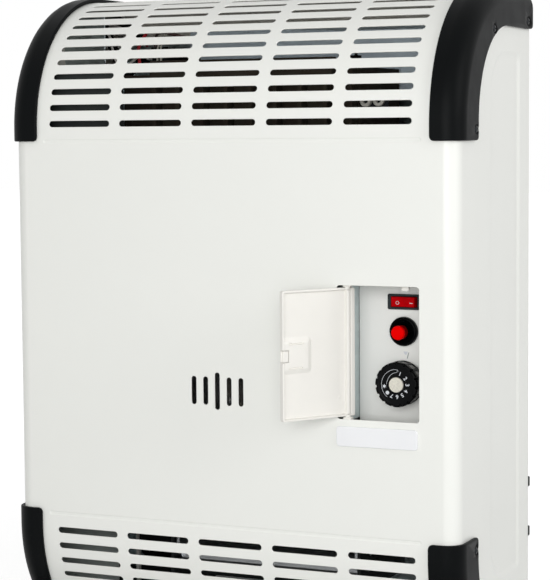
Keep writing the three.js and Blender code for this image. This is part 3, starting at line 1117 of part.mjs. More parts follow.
/** The duct behind the exchanger that brings air down from the wall to the firebox. */
function airDuct() {
  const front = EXCHANGER_REAR + SEAT;
  const back = REAR_PANEL_Y - SEAT;
  const half = INTAKE_RADIUS + AIR_DUCT_MARGIN;
  const top = FLUE_Z + half;
  const outside = block([-half, front, EXCHANGER_BOTTOM], [half, back, top]);
  const inside = block([DUCT_WALL - half, front + DUCT_WALL, EXCHANGER_BOTTOM + DUCT_WALL],
    [half - DUCT_WALL, back - DUCT_WALL, top - DUCT_WALL]);
  return outside.subtract(inside).subtract(airPort(front - 1, front + 2 * DUCT_WALL))
    .subtract(bar('y', EXHAUST_RADIUS + SEAT, front - 1, front + 2 * DUCT_WALL, FLUE, 32))
    .subtract(bar('y', INTAKE_RADIUS + SEAT, back - 2 * DUCT_WALL, back + 1, FLUE, 32));
}
const chassis = new THREE.Group();
heater.add(chassis);
add(chassis, 'air_duct', airDuct(), galvanised);
const exhaust = tube('y', EXHAUST_RADIUS, DUCT_WALL, EXCHANGER_REAR + SEAT, FLUE_REACH, FLUE, 32);
add(chassis, 'exhaust_pipe', exhaust, steel);
const intake = tube('y', INTAKE_RADIUS, DUCT_WALL, REAR_PANEL_Y - DUCT_WALL - SEAT, FLUE_REACH, FLUE, 32);
add(chassis, 'air_intake_pipe', intake, galvanised);

/** The chassis sheet that closes the casing's back, with its two side lips. */
function rearPanel() {
  const half = HALF_WIDTH - REAR_FLANGE - SEAT;
  const low = CASING_BOTTOM + REAR_FOOT_GAP;
  const high = CASING_TOP - REAR_FLANGE - SEAT;
  const sheet = block([-half, REAR_PANEL_Y, low], [half, REAR, high]);
  const lips = [1, -1].map((side) => {
    const [x0, x1] = side > 0 ? [half - SHEET, half] : [-half, SHEET - half];
    return block([x0, REAR_PANEL_Y - REAR_SIDE_LIP, low], [x1, REAR_PANEL_Y + 1, high - REAR_LIP_SHORTFALL]);
  });
  return sheet.add(joined(lips))
    .subtract(bar('y', INTAKE_RADIUS + SEAT, REAR_PANEL_Y - 1, REAR + 1, FLUE, 32))
    .subtract(bar('y', GLAND_RADIUS + SEAT, REAR_PANEL_Y - 1, REAR + 1, GLAND, 16));
}
add(chassis, 'rear_panel', rearPanel(), galvanised);

/** The plate screwed to the wall, which the chassis hangs on: a shallow tray with its rim forwards. */
function wallPlate() {
  const half = WALL_PLATE_HALF_WIDTH;
  const front = REAR + SEAT;
  const top = FLUE_Z + WALL_PLATE_ABOVE;
  const bottom = FLUE_Z - WALL_PLATE_BELOW;
  const tray = block([-half, front, bottom], [half, 0, top]);
  const hollow = block([REAR_SHEET - half, front - 1, bottom + REAR_SHEET],
    [half - REAR_SHEET, -REAR_SHEET, top - REAR_SHEET]);
  const across = half - WALL_SCREW_IN;
  const holes = [[-across, top - WALL_SCREW_DOWN], [across, top - WALL_SCREW_DOWN],
    [-across, bottom + WALL_SCREW_DOWN], [across, bottom + WALL_SCREW_DOWN]].map((place) => (
    bar('y', WALL_SCREW_RADIUS, -REAR_SHEET - 1, 1, place, 12)));
  return tray.subtract(hollow).subtract(joined(holes))
    .subtract(bar('y', INTAKE_RADIUS + SEAT, -REAR_SHEET - 1, 1, FLUE, 32));
}
add(chassis, 'wall_plate', wallPlate(), galvanised);

/** The grommet where the mains lead enters. */
function cableGland() {
  const bore = GLAND_RADIUS - GLAND_WALL;
  const back = REAR + GLAND_FLANGE;
  const neck = tube('y', GLAND_RADIUS, GLAND_WALL, REAR_PANEL_Y - GLAND_FLANGE, back, GLAND, 16);
  const outer = GLAND_RADIUS + GLAND_FLANGE;
  const flange = tube('y', outer, outer - bore - 1, REAR + SEAT, back, GLAND, 16);
  return neck.add(flange);
}
add(chassis, 'cable_gland', cableGland(), rubber);

// ---------------------------------------------------------------- fan
const FAN_AXIS = [REAR - FAN_FROM_REAR, CASING_BOTTOM + FAN_RISE];
const [FAN_Y, FAN_Z] = FAN_AXIS;
const FAN_LEFT = FAN_LEFT_ROOM - HALF_WIDTH;
const FAN_RIGHT = HALF_WIDTH - FAN_RIGHT_ROOM;
const FAN_ROOM = FAN_RADIUS + FAN_HOUSING_GAP;
const FAN_PLATE = 2 * FAN_HOUSING_WALL;
const FAN_PLATE_LEFT = FAN_LEFT - SEAT - FAN_PLATE;
const FAN_PLATE_RIGHT = FAN_RIGHT + SEAT;
const FAN_FLOOR = FAN_Z - FAN_ROOM - FAN_HOUSING_DROP;

/** The cross-flow wheel: end discs, a ring of blades and a stub of shaft at each end. */
function fanWheel() {
  const left = FAN_LEFT + 1;
  const right = FAN_RIGHT - 1;
  const discs = [[left, left + FAN_DISC], [right - FAN_DISC, right]].map(([x0, x1]) => (
    bar('x', FAN_RADIUS, x0, x1, [0, 0], 36)));
  const blades = [];
  for (let i = 0; i < FAN_BLADES; i++) {
    const blade = new THREE.BoxGeometry(right - left - FAN_DISC, FAN_BLADE_DEPTH, FAN_BLADE_THICKNESS);
    blade.rotateX(FAN_BLADE_PITCH * DEGREES);
    blade.translate((left + right) / 2, FAN_RADIUS - FAN_BLADE_DEPTH / 2 - FAN_BLADE_THICKNESS / 2, 0);
    blades.push(solid(blade.rotateX((i * 2 * Math.PI) / FAN_BLADES)));
  }
  const stubs = [bar('x', FAN_SHAFT_RADIUS, FAN_PLATE_LEFT - FAN_SHAFT_REACH, left + 1, [0, 0], 16),
    bar('x', FAN_SHAFT_RADIUS, right - 1, FAN_PLATE_RIGHT + FAN_PLATE, [0, 0], 16)];
  return joined([...discs, ...blades, ...stubs]);
}

/** The scroll behind the wheel, open to the front below and to the exchanger above. */
function fanHousing() {
  const back = REAR_PANEL_Y - SEAT;
  const arcZ = FAN_Z - FAN_HOUSING_DROP;
  const lip = -Math.PI * 0.8; // where the scroll's lip ends, below the wheel's front
  const shape = new THREE.Shape();
  shape.moveTo(back, FAN_FLOOR);
  shape.lineTo(back, FAN_Z + FAN_ROOM);
  shape.lineTo(back - FAN_HOUSING_WALL, FAN_Z + FAN_ROOM);
  shape.lineTo(back - FAN_HOUSING_WALL, FAN_FLOOR + FAN_HOUSING_WALL);
  shape.lineTo(FAN_Y, FAN_FLOOR + FAN_HOUSING_WALL);
  shape.absarc(FAN_Y, arcZ, FAN_ROOM - FAN_HOUSING_WALL, -Math.PI / 2, lip, true);
  shape.absarc(FAN_Y, arcZ, FAN_ROOM, lip, -Math.PI / 2, false);
  const scroll = prismX(shape, FAN_PLATE_LEFT + 1, FAN_PLATE_RIGHT + 1, 8);
  const ends = [FAN_PLATE_LEFT, FAN_PLATE_RIGHT].map((x) => (
    block([x, FAN_Y - FAN_ROOM, FAN_FLOOR], [x + FAN_PLATE, back, FAN_Z + FAN_ROOM])));
  const far = FAN_PLATE_RIGHT + FAN_PLATE + 1;
  const bore = bar('x', FAN_SHAFT_RADIUS + RUN, FAN_PLATE_LEFT - 1, far, FAN_AXIS, 16);
  return scroll.add(joined(ends)).subtract(bore);
}

function fanMotor() {
  const right = FAN_PLATE_LEFT - SEAT;
  const can = bar('x', FAN_MOTOR_RADIUS, right - FAN_MOTOR_LENGTH, right, FAN_AXIS, 32);
  return can.subtract(bar('x', FAN_SHAFT_RADIUS + RUN, right - FAN_SHAFT_REACH - 4, right + 1, FAN_AXIS, 16));
}
const fan = new THREE.Group();
heater.add(fan);
add(fan, 'fan_housing', fanHousing(), galvanised);
add(fan, 'fan_wheel', fanWheel(), dieCast, [0, FAN_Y, FAN_Z]);
add(fan, 'fan_motor', fanMotor(), blackPlastic);

// ---------------------------------------------------------------- thermostats and wiring
/** A snap thermostat on a small bracket that stands on the exchanger's top. */
function thermostat() {
  const [halfLength, halfWidth, thickness] = THERMOSTAT_BRACKET;
  const base = block([-halfLength, -halfWidth, 0], [halfLength, halfWidth, thickness]);
  const can = bar('z', THERMOSTAT_RADIUS, 1, THERMOSTAT_HEIGHT, [0, 0], 24);
  const tabs = [-THERMOSTAT_TAB_X, THERMOSTAT_TAB_X].map((x) => (
    block([x - 0.4, -3, THERMOSTAT_HEIGHT - 1], [x + 0.4, 3, THERMOSTAT_HEIGHT + THERMOSTAT_TAB])));
  return base.add(can).add(joined(tabs));
}
const THERMOSTAT_SEAT = EXCHANGER_TOP + SEAT;
const LIMIT_THERMOSTAT = [23 - EXCHANGER_HALF, EXCHANGER_FRONT + 40];
const FAN_THERMOSTAT = [EXCHANGER_HALF - 16, EXCHANGER_FRONT + 20];
add(core, 'limit_thermostat', thermostat(), blackPlastic, [...LIMIT_THERMOSTAT, THERMOSTAT_SEAT]);
add(core, 'fan_thermostat', thermostat(), blackPlastic, [...FAN_THERMOSTAT, THERMOSTAT_SEAT]);

const BLOCK_X = WIRING_FROM_SIDE - HALF_WIDTH;
const BLOCK_Z = CASING_TOP - WIRING_FROM_TOP;
const BLOCK_FRONT = REAR_PANEL_Y - WIRING_FROM_REAR;

/** The wiring block on its bracket from the rear panel. */
function terminalBlock() {
  const half = WIRING_HALF_WIDTH;
  const arm = block([-half, BLOCK_FRONT, -REAR_SHEET], [half, REAR_PANEL_Y - SEAT, 0]);
  return arm.add(block([-half, BLOCK_FRONT, -1], [half, BLOCK_FRONT + WIRING_DEPTH, WIRING_HEIGHT]));
}
add(core, 'terminal_block', terminalBlock(), whitePlastic, [BLOCK_X, 0, BLOCK_Z]);

// The lead from the limit thermostat's right tab to the wiring block's top.
const [redX, redY] = [LIMIT_THERMOSTAT[0] + THERMOSTAT_TAB_X, LIMIT_THERMOSTAT[1]];
const redZ = THERMOSTAT_SEAT + THERMOSTAT_HEIGHT + THERMOSTAT_TAB + SEAT;
const blockTop = BLOCK_Z + WIRING_HEIGHT + SEAT;
const redRoute = [[redX, redY, redZ], [redX, redY, redZ + 4], [redX - 5, redY - 4, redZ + 12],
  [redX - 23, redY - 10, redZ + 18], [redX - 47, redY + 6, redZ + 22],
  [BLOCK_X + 6, BLOCK_FRONT + 8, blockTop + 9],
  [BLOCK_X + 4, BLOCK_FRONT + 10, blockTop + 3], [BLOCK_X + 4, BLOCK_FRONT + 10, blockTop]];
add(core, 'thermostat_lead', bentTube(redRoute, LEAD_RADIUS, 20, 6), redLead);

export default heater;
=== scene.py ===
"""Looks of the wall hung gas heater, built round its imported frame.

Sizes in the classes are millimetres in the row frame (+Z up, front towards -Y, wall at y 0), and become
metres when a piece is made.
"""

import logging
import math
from dataclasses import dataclass, field
from enum import Enum
from functools import reduce
from typing import Any, Callable, Iterable, Sequence

import bmesh
import bpy
from mathutils import Matrix, Vector
from mathutils.geometry import delaunay_2d_cdt


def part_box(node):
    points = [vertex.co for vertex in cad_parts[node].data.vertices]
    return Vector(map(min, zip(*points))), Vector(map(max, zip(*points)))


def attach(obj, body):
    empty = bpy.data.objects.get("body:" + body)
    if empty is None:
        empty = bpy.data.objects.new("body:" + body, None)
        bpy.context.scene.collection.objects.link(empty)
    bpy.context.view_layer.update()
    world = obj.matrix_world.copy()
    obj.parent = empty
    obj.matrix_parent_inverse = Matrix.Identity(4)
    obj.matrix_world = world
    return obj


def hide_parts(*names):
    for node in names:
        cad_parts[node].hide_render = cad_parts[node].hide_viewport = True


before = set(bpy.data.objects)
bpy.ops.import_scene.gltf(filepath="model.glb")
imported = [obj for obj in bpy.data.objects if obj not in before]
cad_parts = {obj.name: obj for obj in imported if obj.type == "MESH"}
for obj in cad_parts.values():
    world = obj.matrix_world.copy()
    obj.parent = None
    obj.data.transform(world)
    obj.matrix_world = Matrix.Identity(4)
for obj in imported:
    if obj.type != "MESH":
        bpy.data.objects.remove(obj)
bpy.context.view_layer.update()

MM = 0.001
LOG = logging.getLogger("heater")
MIRROR_X = Matrix.Scale(-1, 4, (1, 0, 0))
SQUARE_LIP = 0.01  # lip of an edge that stays as good as square
PRINT_LIP = 0.02  # lip of a printed mark
SHARP_EDGE = math.radians(38)  # edges that turn further than this stay sharp
SHARP_CORNER = math.radians(25)  # corners of an outline that turn further than this get rounded
NOISE_ROUGHNESS = 0.55
TONE_RANGE = (0.25, 0.75)  # part of a pattern's values over which the colour changes
GLOSS_RANGE = (0.3, 0.7)  # and the roughness

Point2 = tuple[float, float]
Point3 = tuple[float, float, float]
Box3 = tuple[Point3, Point3]
Loop2 = list[Point2]
Profile = tuple[Point2, ...]
Box2 = tuple[float, float, float, float]
Rgba = Box2
Spot = tuple[Vector, Vector]  # a point of a surface, and its normal there
Face = tuple[int, ...]
Node = bpy.types.Node
Socket = bpy.types.NodeSocket
Tree = bpy.types.NodeTree


class Body(str, Enum):
    """The moving bodies of the frame that pieces ride on."""

    HEATER = "heater"
    DOOR = "door"
    LATCH = "door_latch"
    ROCKER = "rocker"
    BUTTON = "piezo_button"
    SPINDLE = "valve_spindle"
    KNOB = "control_knob"
    FAN = "fan_wheel"


# --- colour and nodes
def linear(colour: str) -> Rgba:
    """Turns an sRGB hex colour to linear light.

    Args:
        colour: Six hex digits after a hash.

    Returns:
        Red, green, blue and a full alpha.
    """
    parts = [int(colour[i : i + 2], 16) / 255 for i in (1, 3, 5)]
    red, green, blue = (c / 12.92 if c <= 0.04045 else ((c + 0.055) / 1.055) ** 2.4 for c in parts)
    return red, green, blue, 1.0


def add_node(
    tree: Tree,
    kind: str,
    settings: dict[str, Any] | None = None,
    inputs: dict[str | int, Any] | None = None,
) -> Node:
    """Adds a node with its settings and links.

    Args:
        tree: Where the node goes.
        kind: The node's type name.
        settings: Values for the node's own attributes.
        inputs: For each input, by name or place, a value or a socket to link.

    Returns:
        The new node.
    """
    node = tree.nodes.new(kind)
    for name, value in (settings or {}).items():
        setattr(node, name, value)
    for key, value in (inputs or {}).items():
        if isinstance(value, bpy.types.NodeSocket):
            tree.links.new(value, node.inputs[key])
        else:
            node.inputs[key].default_value = value
    return node


# --- finishes
class Make(Enum):
    """How a surface was made, which gives its pattern."""

    MOULDED = "moulded, coated or printed: a faint broad mottle under a fine grain"
    SPANGLED = "hot-dip galvanised: frozen zinc crystals, each its own grey and gloss"
    BRUSHED = "drawn or turned: fine scratches along one axis"
    CAST = "cast: a coarse skin with pits, and patches of a second colour"


SPANGLE_MM = 7.0
SPANGLE_SHADES = (0.93, 1.05)
SCRATCH_STRETCH = (1.0, 1.0, 12.0)


@dataclass(frozen=True)
class Pattern:
    """What a finish spreads over a surface: a tone between two colours, and a relief."""

    tone: Socket
    low: Rgba
    high: Rgba
    relief: Socket


@dataclass(frozen=True)
class Finish:
    """A surface: its mottle in colour and its grain in relief each have a strength and a size, in mm."""

    name: str
    colour: str
    roughness: float
    metallic: float = 0.0
    coat: float = 0.0
    specular: float = 0.5
    mottle: Point2 = (0.03, 30.0)
    grain: Point2 = (0.01, 1.0)
    rough_spread: float = 0.05
    coat_roughness: float = 0.08
    ior: float = 1.5
    transmission: float = 0.0
    make: Make = Make.MOULDED
    patch: str = ""

    def material(self) -> bpy.types.Material:
        """Makes the material at its first use.

        Returns:
            The one material of this name.
        """
        made = bpy.data.materials.get(self.name)
        if made:
            return made
        made = bpy.data.materials.new(self.name)
        made.use_nodes = True
        shader = made.node_tree.nodes["Principled BSDF"]
        for name, value in (
            ("Metallic", self.metallic),
            ("Specular IOR Level", self.specular),
            ("IOR", self.ior),
            ("Coat Weight", self.coat),
            ("Coat Roughness", self.coat_roughness),
            ("Transmission Weight", self.transmission),
        ):
            shader.inputs[name].default_value = value
        self.dress(made.node_tree, shader)
        return made

    def dress(self, tree: Tree, shader: Node) -> None:
        """Links the pattern to the shader's colour, roughness and relief.

        Args:
            tree: The material's nodes.
            shader: Its principled shader.
        """
        found = self.pattern(tree, add_node(tree, "ShaderNodeTexCoord").outputs["Object"])
        ramp = add_node(tree, "ShaderNodeValToRGB", inputs={"Fac": found.tone})
        ramp.color_ramp.interpolation = "EASE"
        for stop, position, colour in zip(ramp.color_ramp.elements, TONE_RANGE, (found.low, found.high)):
            stop.position, stop.color = position, colour
        inputs = {
            "Value": found.tone,
            "From Min": GLOSS_RANGE[0],
            "From Max": GLOSS_RANGE[1],
            "To Min": self.roughness - self.rough_spread,
            "To Max": self.roughness + self.rough_spread,
        }
        gloss = add_node(tree, "ShaderNodeMapRange", inputs=inputs)
        inputs = {"Height": found.relief, "Distance": self.grain[0] * MM, "Strength": 1.0}
        bump = add_node(tree, "ShaderNodeBump", inputs=inputs)
        tree.links.new(ramp.outputs["Color"], shader.inputs["Base Color"])
        tree.links.new(gloss.outputs["Result"], shader.inputs["Roughness"])
        tree.links.new(bump.outputs["Normal"], shader.inputs["Normal"])

    def pattern(self, tree: Tree, place: Socket) -> Pattern:
        """What the way of making gives.

        Args:
            tree: The material's nodes.
            place: The point on the object, in metres.

        Returns:
            The pattern.
        """
        (spread, size), grain = self.mottle, self.grain[1]
        if self.make is Make.SPANGLED:
            inputs = {"Vector": place, "Scale": 1 / (SPANGLE_MM * MM), "Randomness": 1.0}
            cells = add_node(tree, "ShaderNodeTexVoronoi", inputs=inputs).outputs["Color"]
            tone = add_node(tree, "ShaderNodeRGBToBW", inputs={"Color": cells}).outputs["Val"]
            darker, lighter = (self.shade(factor) for factor in SPANGLE_SHADES)
            return Pattern(tone, darker, lighter, self.noise(tree, place, grain, 3.0))
        if self.make is Make.BRUSHED:
            inputs = {"Vector": place, "Scale": SCRATCH_STRETCH}
            drawn = add_node(tree, "ShaderNodeMapping", {"vector_type": "POINT"}, inputs).outputs["Vector"]
            lines = self.noise(tree, drawn, grain, 4.0)
            return Pattern(lines, self.shade(1 - spread), self.shade(1 + spread), lines)
        if self.make is Make.CAST:
            tone = self.noise(tree, place, size, 4.0)
            relief = self.noise(tree, place, grain, 6.0)
            return Pattern(tone, linear(self.colour), linear(self.patch), relief)
        tone = self.noise(tree, place, size, 3.0)
        relief = self.noise(tree, place, grain, 2.0)
        return Pattern(tone, self.shade(1 + spread), self.shade(1 - spread), relief)

    def noise(self, tree: Tree, place: Socket, size: float, detail: float) -> Socket:
        """A noise whose blobs are about size millimetres across."""
        inputs = {"Vector": place, "Scale": 1 / (size * MM), "Detail": detail, "Roughness": NOISE_ROUGHNESS}
        return add_node(tree, "ShaderNodeTexNoise", inputs=inputs).outputs["Fac"]

    def shade(self, factor: float) -> Rgba:
        """The finish's colour made lighter or darker by a factor."""
        red, green, blue, alpha = linear(self.colour)
        return min(red * factor, 1.0), min(green * factor, 1.0), min(blue * factor, 1.0), alpha


# Epoxy-polyester powder coat on steel sheet: satin white, a soft orange peel about 2 mm across.
WHITE_POWDER_COAT = Finish(
    "powder_coat_white", "#eeefea", 0.4, coat=0.1, mottle=(0.004, 90), grain=(0.006, 2.2), rough_spread=0.02
)
# Dark, dull steel: painted shade. It darkens the fan's housing, and the sheets put behind the slots only so
# that those slots read dark.
DARK_STEEL_PAINTED_SHADE = Finish(
    "steel_dark_painted_shade", "#2c3130", 0.65, specular=0.3, mottle=(0.15, 18), grain=(0.02, 1.5)
)
# Primer coat on the casing's inner side: flat warm grey, seen as a sheen through the upper slots.
GREY_PRIMER = Finish("primer_warm_grey", "#e4e1d7", 0.7, specular=0.3, mottle=(0.05, 30), grain=(0.01, 1.5))
# Primer on the inner sheets low down: flat, darker and cooler.
COOL_PRIMER = Finish("primer_cool_grey", "#949a98", 0.7, specular=0.3, mottle=(0.06, 30), grain=(0.01, 1.5))
# The casing's paint in a flatter light grey, on the controls' bracket.
GREY_POWDER_COAT = Finish("powder_coat_light_grey", "#f4f5f1", 0.45, mottle=(0.008, 40), grain=(0.008, 1.8))
# Moulded ABS, spark-eroded tool: near black with a slight cold cast, satin, fine grain.
BLACK_ABS = Finish(
    "abs_satin_black", "#060809", 0.44, specular=0.06, mottle=(0.1, 25), grain=(0.02, 0.8),
    rough_spread=0.03
)
# Moulded polypropylene from a polished tool: slightly warm white, waxy gloss.
WHITE_POLYPROPYLENE = Finish("polypropylene_white", "#ebe9e3", 0.42, mottle=(0.008, 20), grain=(0.004, 1.4))
# Cast acrylic plate: a cooler white than the paint round it, glossy.
WHITE_ACRYLIC = Finish("acrylic_cool_white", "#f0f1f3", 0.2, mottle=(0.004, 30), grain=(0.002, 2.0))
# Glass-filled nylon: black, a little glossier than the trims.
BLACK_NYLON = Finish(
    "nylon_gloss_black", "#050607", 0.32, specular=0.06, mottle=(0.1, 12), grain=(0.006, 0.8)
)
# Panels let into the knob's skirt: the same nylon from a polished part of the tool, shiny, and coloured dark
# grey as a painted sheen for their reflections.
NYLON_PAINTED_SHEEN = Finish(
    "nylon_painted_sheen_grey", "#4a4a48", 0.26, specular=0.5, mottle=(0.12, 5), grain=(0.004, 1.0)
)
# Glass-filled polyester of the switch frame: very dark grey, duller than the nylon.
GREY_PBT = Finish("pbt_dark_grey", "#23292b", 0.5, specular=0.2, mottle=(0.08, 8), grain=(0.01, 1.0))
# Rocker of tinted polycarbonate: clear deep red with a polished face.
RED_POLYCARBONATE = Finish(
    "polycarbonate_red", "#bd0008", 0.22, specular=0.03, mottle=(0.1, 6), grain=(0.002, 2.0)
)
# Push button of opaque red ABS: saturated, soft gloss.
RED_ABS = Finish("abs_red", "#f00000", 0.4, specular=0.02, mottle=(0.03, 8), grain=(0.003, 0.9))
# The same ABS in a deeper red on the rear of the button's flank: painted shade, standing for the shadow that
# the collar casts there.
RED_ABS_PAINTED_SHADE = Finish("abs_red_painted_shade", "#a00000", 0.5, specular=0.02, mottle=(0.1, 4), grain=(0.003, 0.9))
# Cap of cream urea resin: dull, faintly speckled with grey.
CREAM_UREA = Finish("urea_resin_cream", "#dcd9cc", 0.55, mottle=(0.1, 1.3), grain=(0.03, 0.9))
# Pad-printed ink, white: dead flat and slightly thin.
WHITE_INK = Finish("ink_white", "#d9dde2", 0.6, mottle=(0.04, 1.5), grain=(0.002, 0.6))
# Screen-printed ink, grey, for the pointer beside the knob.
GREY_INK = Finish("ink_grey", "#a5aaa9", 0.6, mottle=(0.05, 1.5), grain=(0.002, 0.6))
# Hot-dip galvanised steel: blue-grey crystals about 7 mm wide, each a little lighter or darker.
GALVANISED_STEEL = Finish(
    "steel_galvanised", "#c4cfd1", 0.32, make=Make.SPANGLED, metallic=0.95, grain=(0.02, 3),
    rough_spread=0.04
)
# Grey cast iron with its foundry skin: dark brown where it has been hot.
CAST_IRON = Finish(
    "cast_iron_scaled", "#3a372d", 0.8, make=Make.CAST, metallic=0.2, specular=0.3, mottle=(0.03, 20),
    grain=(0.45, 2.4), patch="#3a3128"
)
# Pressure die-cast aluminium: light grey, matt, fine skin.
DIE_CAST_ALUMINIUM = Finish(
    "aluminium_die_cast", "#9b9da0", 0.5, make=Make.CAST, metallic=0.85, mottle=(0.03, 14),
    grain=(0.05, 1.2), patch="#8a8c90"
)
# Turned brass: warm yellow with tool marks.
TURNED_BRASS = Finish(
    "brass_turned", "#c2a05a", 0.3, make=Make.BRUSHED, metallic=1.0, mottle=(0.06, 30), grain=(0.01, 0.8)
)
# Cold-rolled steel, clear zinc plated: bright, slightly blue.
PLATED_STEEL = Finish(
    "steel_zinc_plated", "#b0b4b8", 0.3, make=Make.BRUSHED, metallic=1.0, mottle=(0.05, 30),
    grain=(0.008, 0.9)
)
# Aluminium-coated sheet behind the exchanger: light blue-grey, half dull and half blurred mirror.
ROLLED_ALUMINIUM = Finish(
    "aluminium_sheet", "#d6e4ed", 0.6, make=Make.BRUSHED, metallic=0.25, mottle=(0.04, 30),
    grain=(0.006, 1.2)
)
# Rolled aluminium of the fan's blades: soft bright grey.
BLADE_ALUMINIUM = Finish(
    "aluminium_rolled", "#c3c6c8", 0.34, make=Make.BRUSHED, metallic=1.0, mottle=(0.05, 30),
    grain=(0.008, 1.0)
)
# Black oxide on steel screws: dark with a metallic edge.
BLACK_OXIDE = Finish(
    "steel_black_oxide", "#26282a", 0.38, make=Make.BRUSHED, metallic=0.9, mottle=(0.1, 30),
    grain=(0.01, 0.5)
)
# Vulcanised rubber: matt black with a slight bloom.
RUBBER = Finish("rubber_black", "#161718", 0.8, specular=0.3, mottle=(0.12, 6), grain=(0.03, 0.7))
# Glazed alumina ceramic: off-white, hard gloss.
CERAMIC = Finish("ceramic_glazed", "#e4e1d6", 0.25, coat=0.4, mottle=(0.03, 6), grain=(0.01, 1))
# Silicone sheaths of the leads.
RED_SILICONE = Finish("silicone_red", "#c8202c", 0.48, mottle=(0.05, 5), grain=(0.01, 1))
BROWN_SILICONE = Finish("silicone_brown_red", "#43201d", 0.5, mottle=(0.05, 5), grain=(0.01, 1))
BLUE_SILICONE = Finish("silicone_blue", "#1b4fb4", 0.48, mottle=(0.05, 5), grain=(0.01, 1))
WHITE_SILICONE = Finish("silicone_white", "#dedcd6", 0.48, mottle=(0.03, 5), grain=(0.01, 1))
# Borosilicate window in front of the flame: clear, with a faint warm tone.
WINDOW_GLASS = Finish(
    "glass_borosilicate", "#f1ebe0", 0.05, mottle=(0.02, 30), grain=(0.004, 1), ior=1.47, transmission=0.9
)


# --- outlines
def clamped(value: float) -> float:
    """A value kept between nought and one."""
    return min(max(value, 0.0), 1.0)


def eased(share: float) -> float:
    """A share kept between nought and one, with a level start and end."""
    share = clamped(share)
    return share * share * (3 - 2 * share)


def inside(point: Sequence[float], loop: Sequence[Point2]) -> bool:
    """Says whether a point lies in a closed outline.

    Args:
        point: Its two numbers.
        loop: The outline.

    Returns:
        True for a point inside.
    """
    x, y = point[0], point[1]
    odd = False
    for (x0, y0), (x1, y1) in zip(loop, [*loop[1:], loop[0]]):
        if (y0 > y) != (y1 > y) and x < (x1 - x0) * (y - y0) / (y1 - y0) + x0:
            odd = not odd
    return odd


def arc(centre: Point2, radius: float, start: float, end: float, steps: int) -> Loop2:
    """Points on an arc, from one angle in degrees to another."""
    angles = [math.radians(start + (end - start) * i / steps) for i in range(steps + 1)]
    return [(centre[0] + radius * math.cos(a), centre[1] + radius * math.sin(a)) for a in angles]


def circle(centre: Point2, radius: float, steps: int) -> Loop2:
    """A round outline."""
    return arc(centre, radius, 0, 360, steps)[:-1]


def rounded(x0: float, y0: float, x1: float, y1: float, radius: float, steps: int = 6) -> Loop2:
    """A rectangle with round corners.

    Args:
        x0, y0, x1, y1: Its left, lower, right and upper sides.
        radius: The corners' radius.
        steps: Facets on each corner.

    Returns:
        The outline.
    """
    corners = [(x1, y0, -90), (x1, y1, 0), (x0, y1, 90), (x0, y0, 180)]
    middle_x, middle_y = (x0 + x1) / 2, (y0 + y1) / 2
    loop: Loop2 = []
    for x, y, start in corners:
        centre = (x - math.copysign(radius, x - middle_x), y - math.copysign(radius, y - middle_y))
        loop += arc(centre, radius, start, start + 90, steps)
    return loop


def capsule(centre: Point2, length: float, height: float, upright: bool = False, steps: int = 8) -> Loop2:
    """A slot with half-round ends.

    Args:
        centre: Its middle.
        length: From end to end.
        height: Across it.
        upright: True where it stands.
        steps: Facets on each end.

    Returns:
        The outline.
    """
    half, radius = (length - height) / 2, height / 2
    turn = 90 if upright else 0
    across, along = (0.0, half) if upright else (half, 0.0)
    far = arc((centre[0] + across, centre[1] + along), radius, turn - 90, turn + 90, steps)
    near = arc((centre[0] - across, centre[1] - along), radius, turn + 90, turn + 270, steps)
    return far + near


def softened(loop: Sequence[Point2], radius: float, steps: int = 5) -> Loop2:
    """Rounds every corner of an outline that turns by more than 25 degrees.

    Args:
        loop: The outline.
        radius: The corner's radius, or less where the sides are short.
        steps: Points on each corner.

    Returns:
        The outline with its sharp corners rounded.
    """
    made: Loop2 = []
    count = len(loop)
    for i in range(count):
        corner = Vector(loop[i])
        back, ahead = Vector(loop[i - 1]) - corner, Vector(loop[(i + 1) % count]) - corner
        bend = math.pi - back.angle(ahead, math.pi)
        if bend < SHARP_CORNER:
            made.append(loop[i])
            continue
        longest = 0.45 * min(back.length, ahead.length)
        reach = min(radius * math.tan(bend / 2), longest)
        start, end = corner + back.normalized() * reach, corner + ahead.normalized() * reach
        for k in range(steps + 1):
            t = k / steps
            point = start * (1 - t) ** 2 + corner * 2 * t * (1 - t) + end * t**2
            made.append((point.x, point.y))
    return made


def drawn_in(loop: Sequence[Point2], distance: float) -> Loop2:
    """A closed outline moved inward.

    Args:
        loop: The outline.
        distance: How far it moves, outward where it is negative.

    Returns:
        The outline moved.
    """
    kept = [p for i, p in enumerate(loop) if math.dist(p, loop[i - 1]) > 1e-4]
    area = sum(a[0] * b[1] - b[0] * a[1] for a, b in zip(kept, [*kept[1:], kept[0]]))
    way = math.copysign(1.0, area)
    made: Loop2 = []
    for i, point in enumerate(kept):
        before = (Vector(point) - Vector(kept[i - 1])).normalized()
        after = (Vector(kept[(i + 1) % len(kept)]) - Vector(point)).normalized()
        inward = Vector((-before.y - after.y, before.x + after.x)) * way
        inward.normalize()
        share = max(inward.dot(Vector((-before.y, before.x)) * way), 0.5)
        moved = Vector(point) + inward * distance / share
        made.append((moved.x, moved.y))
    return made


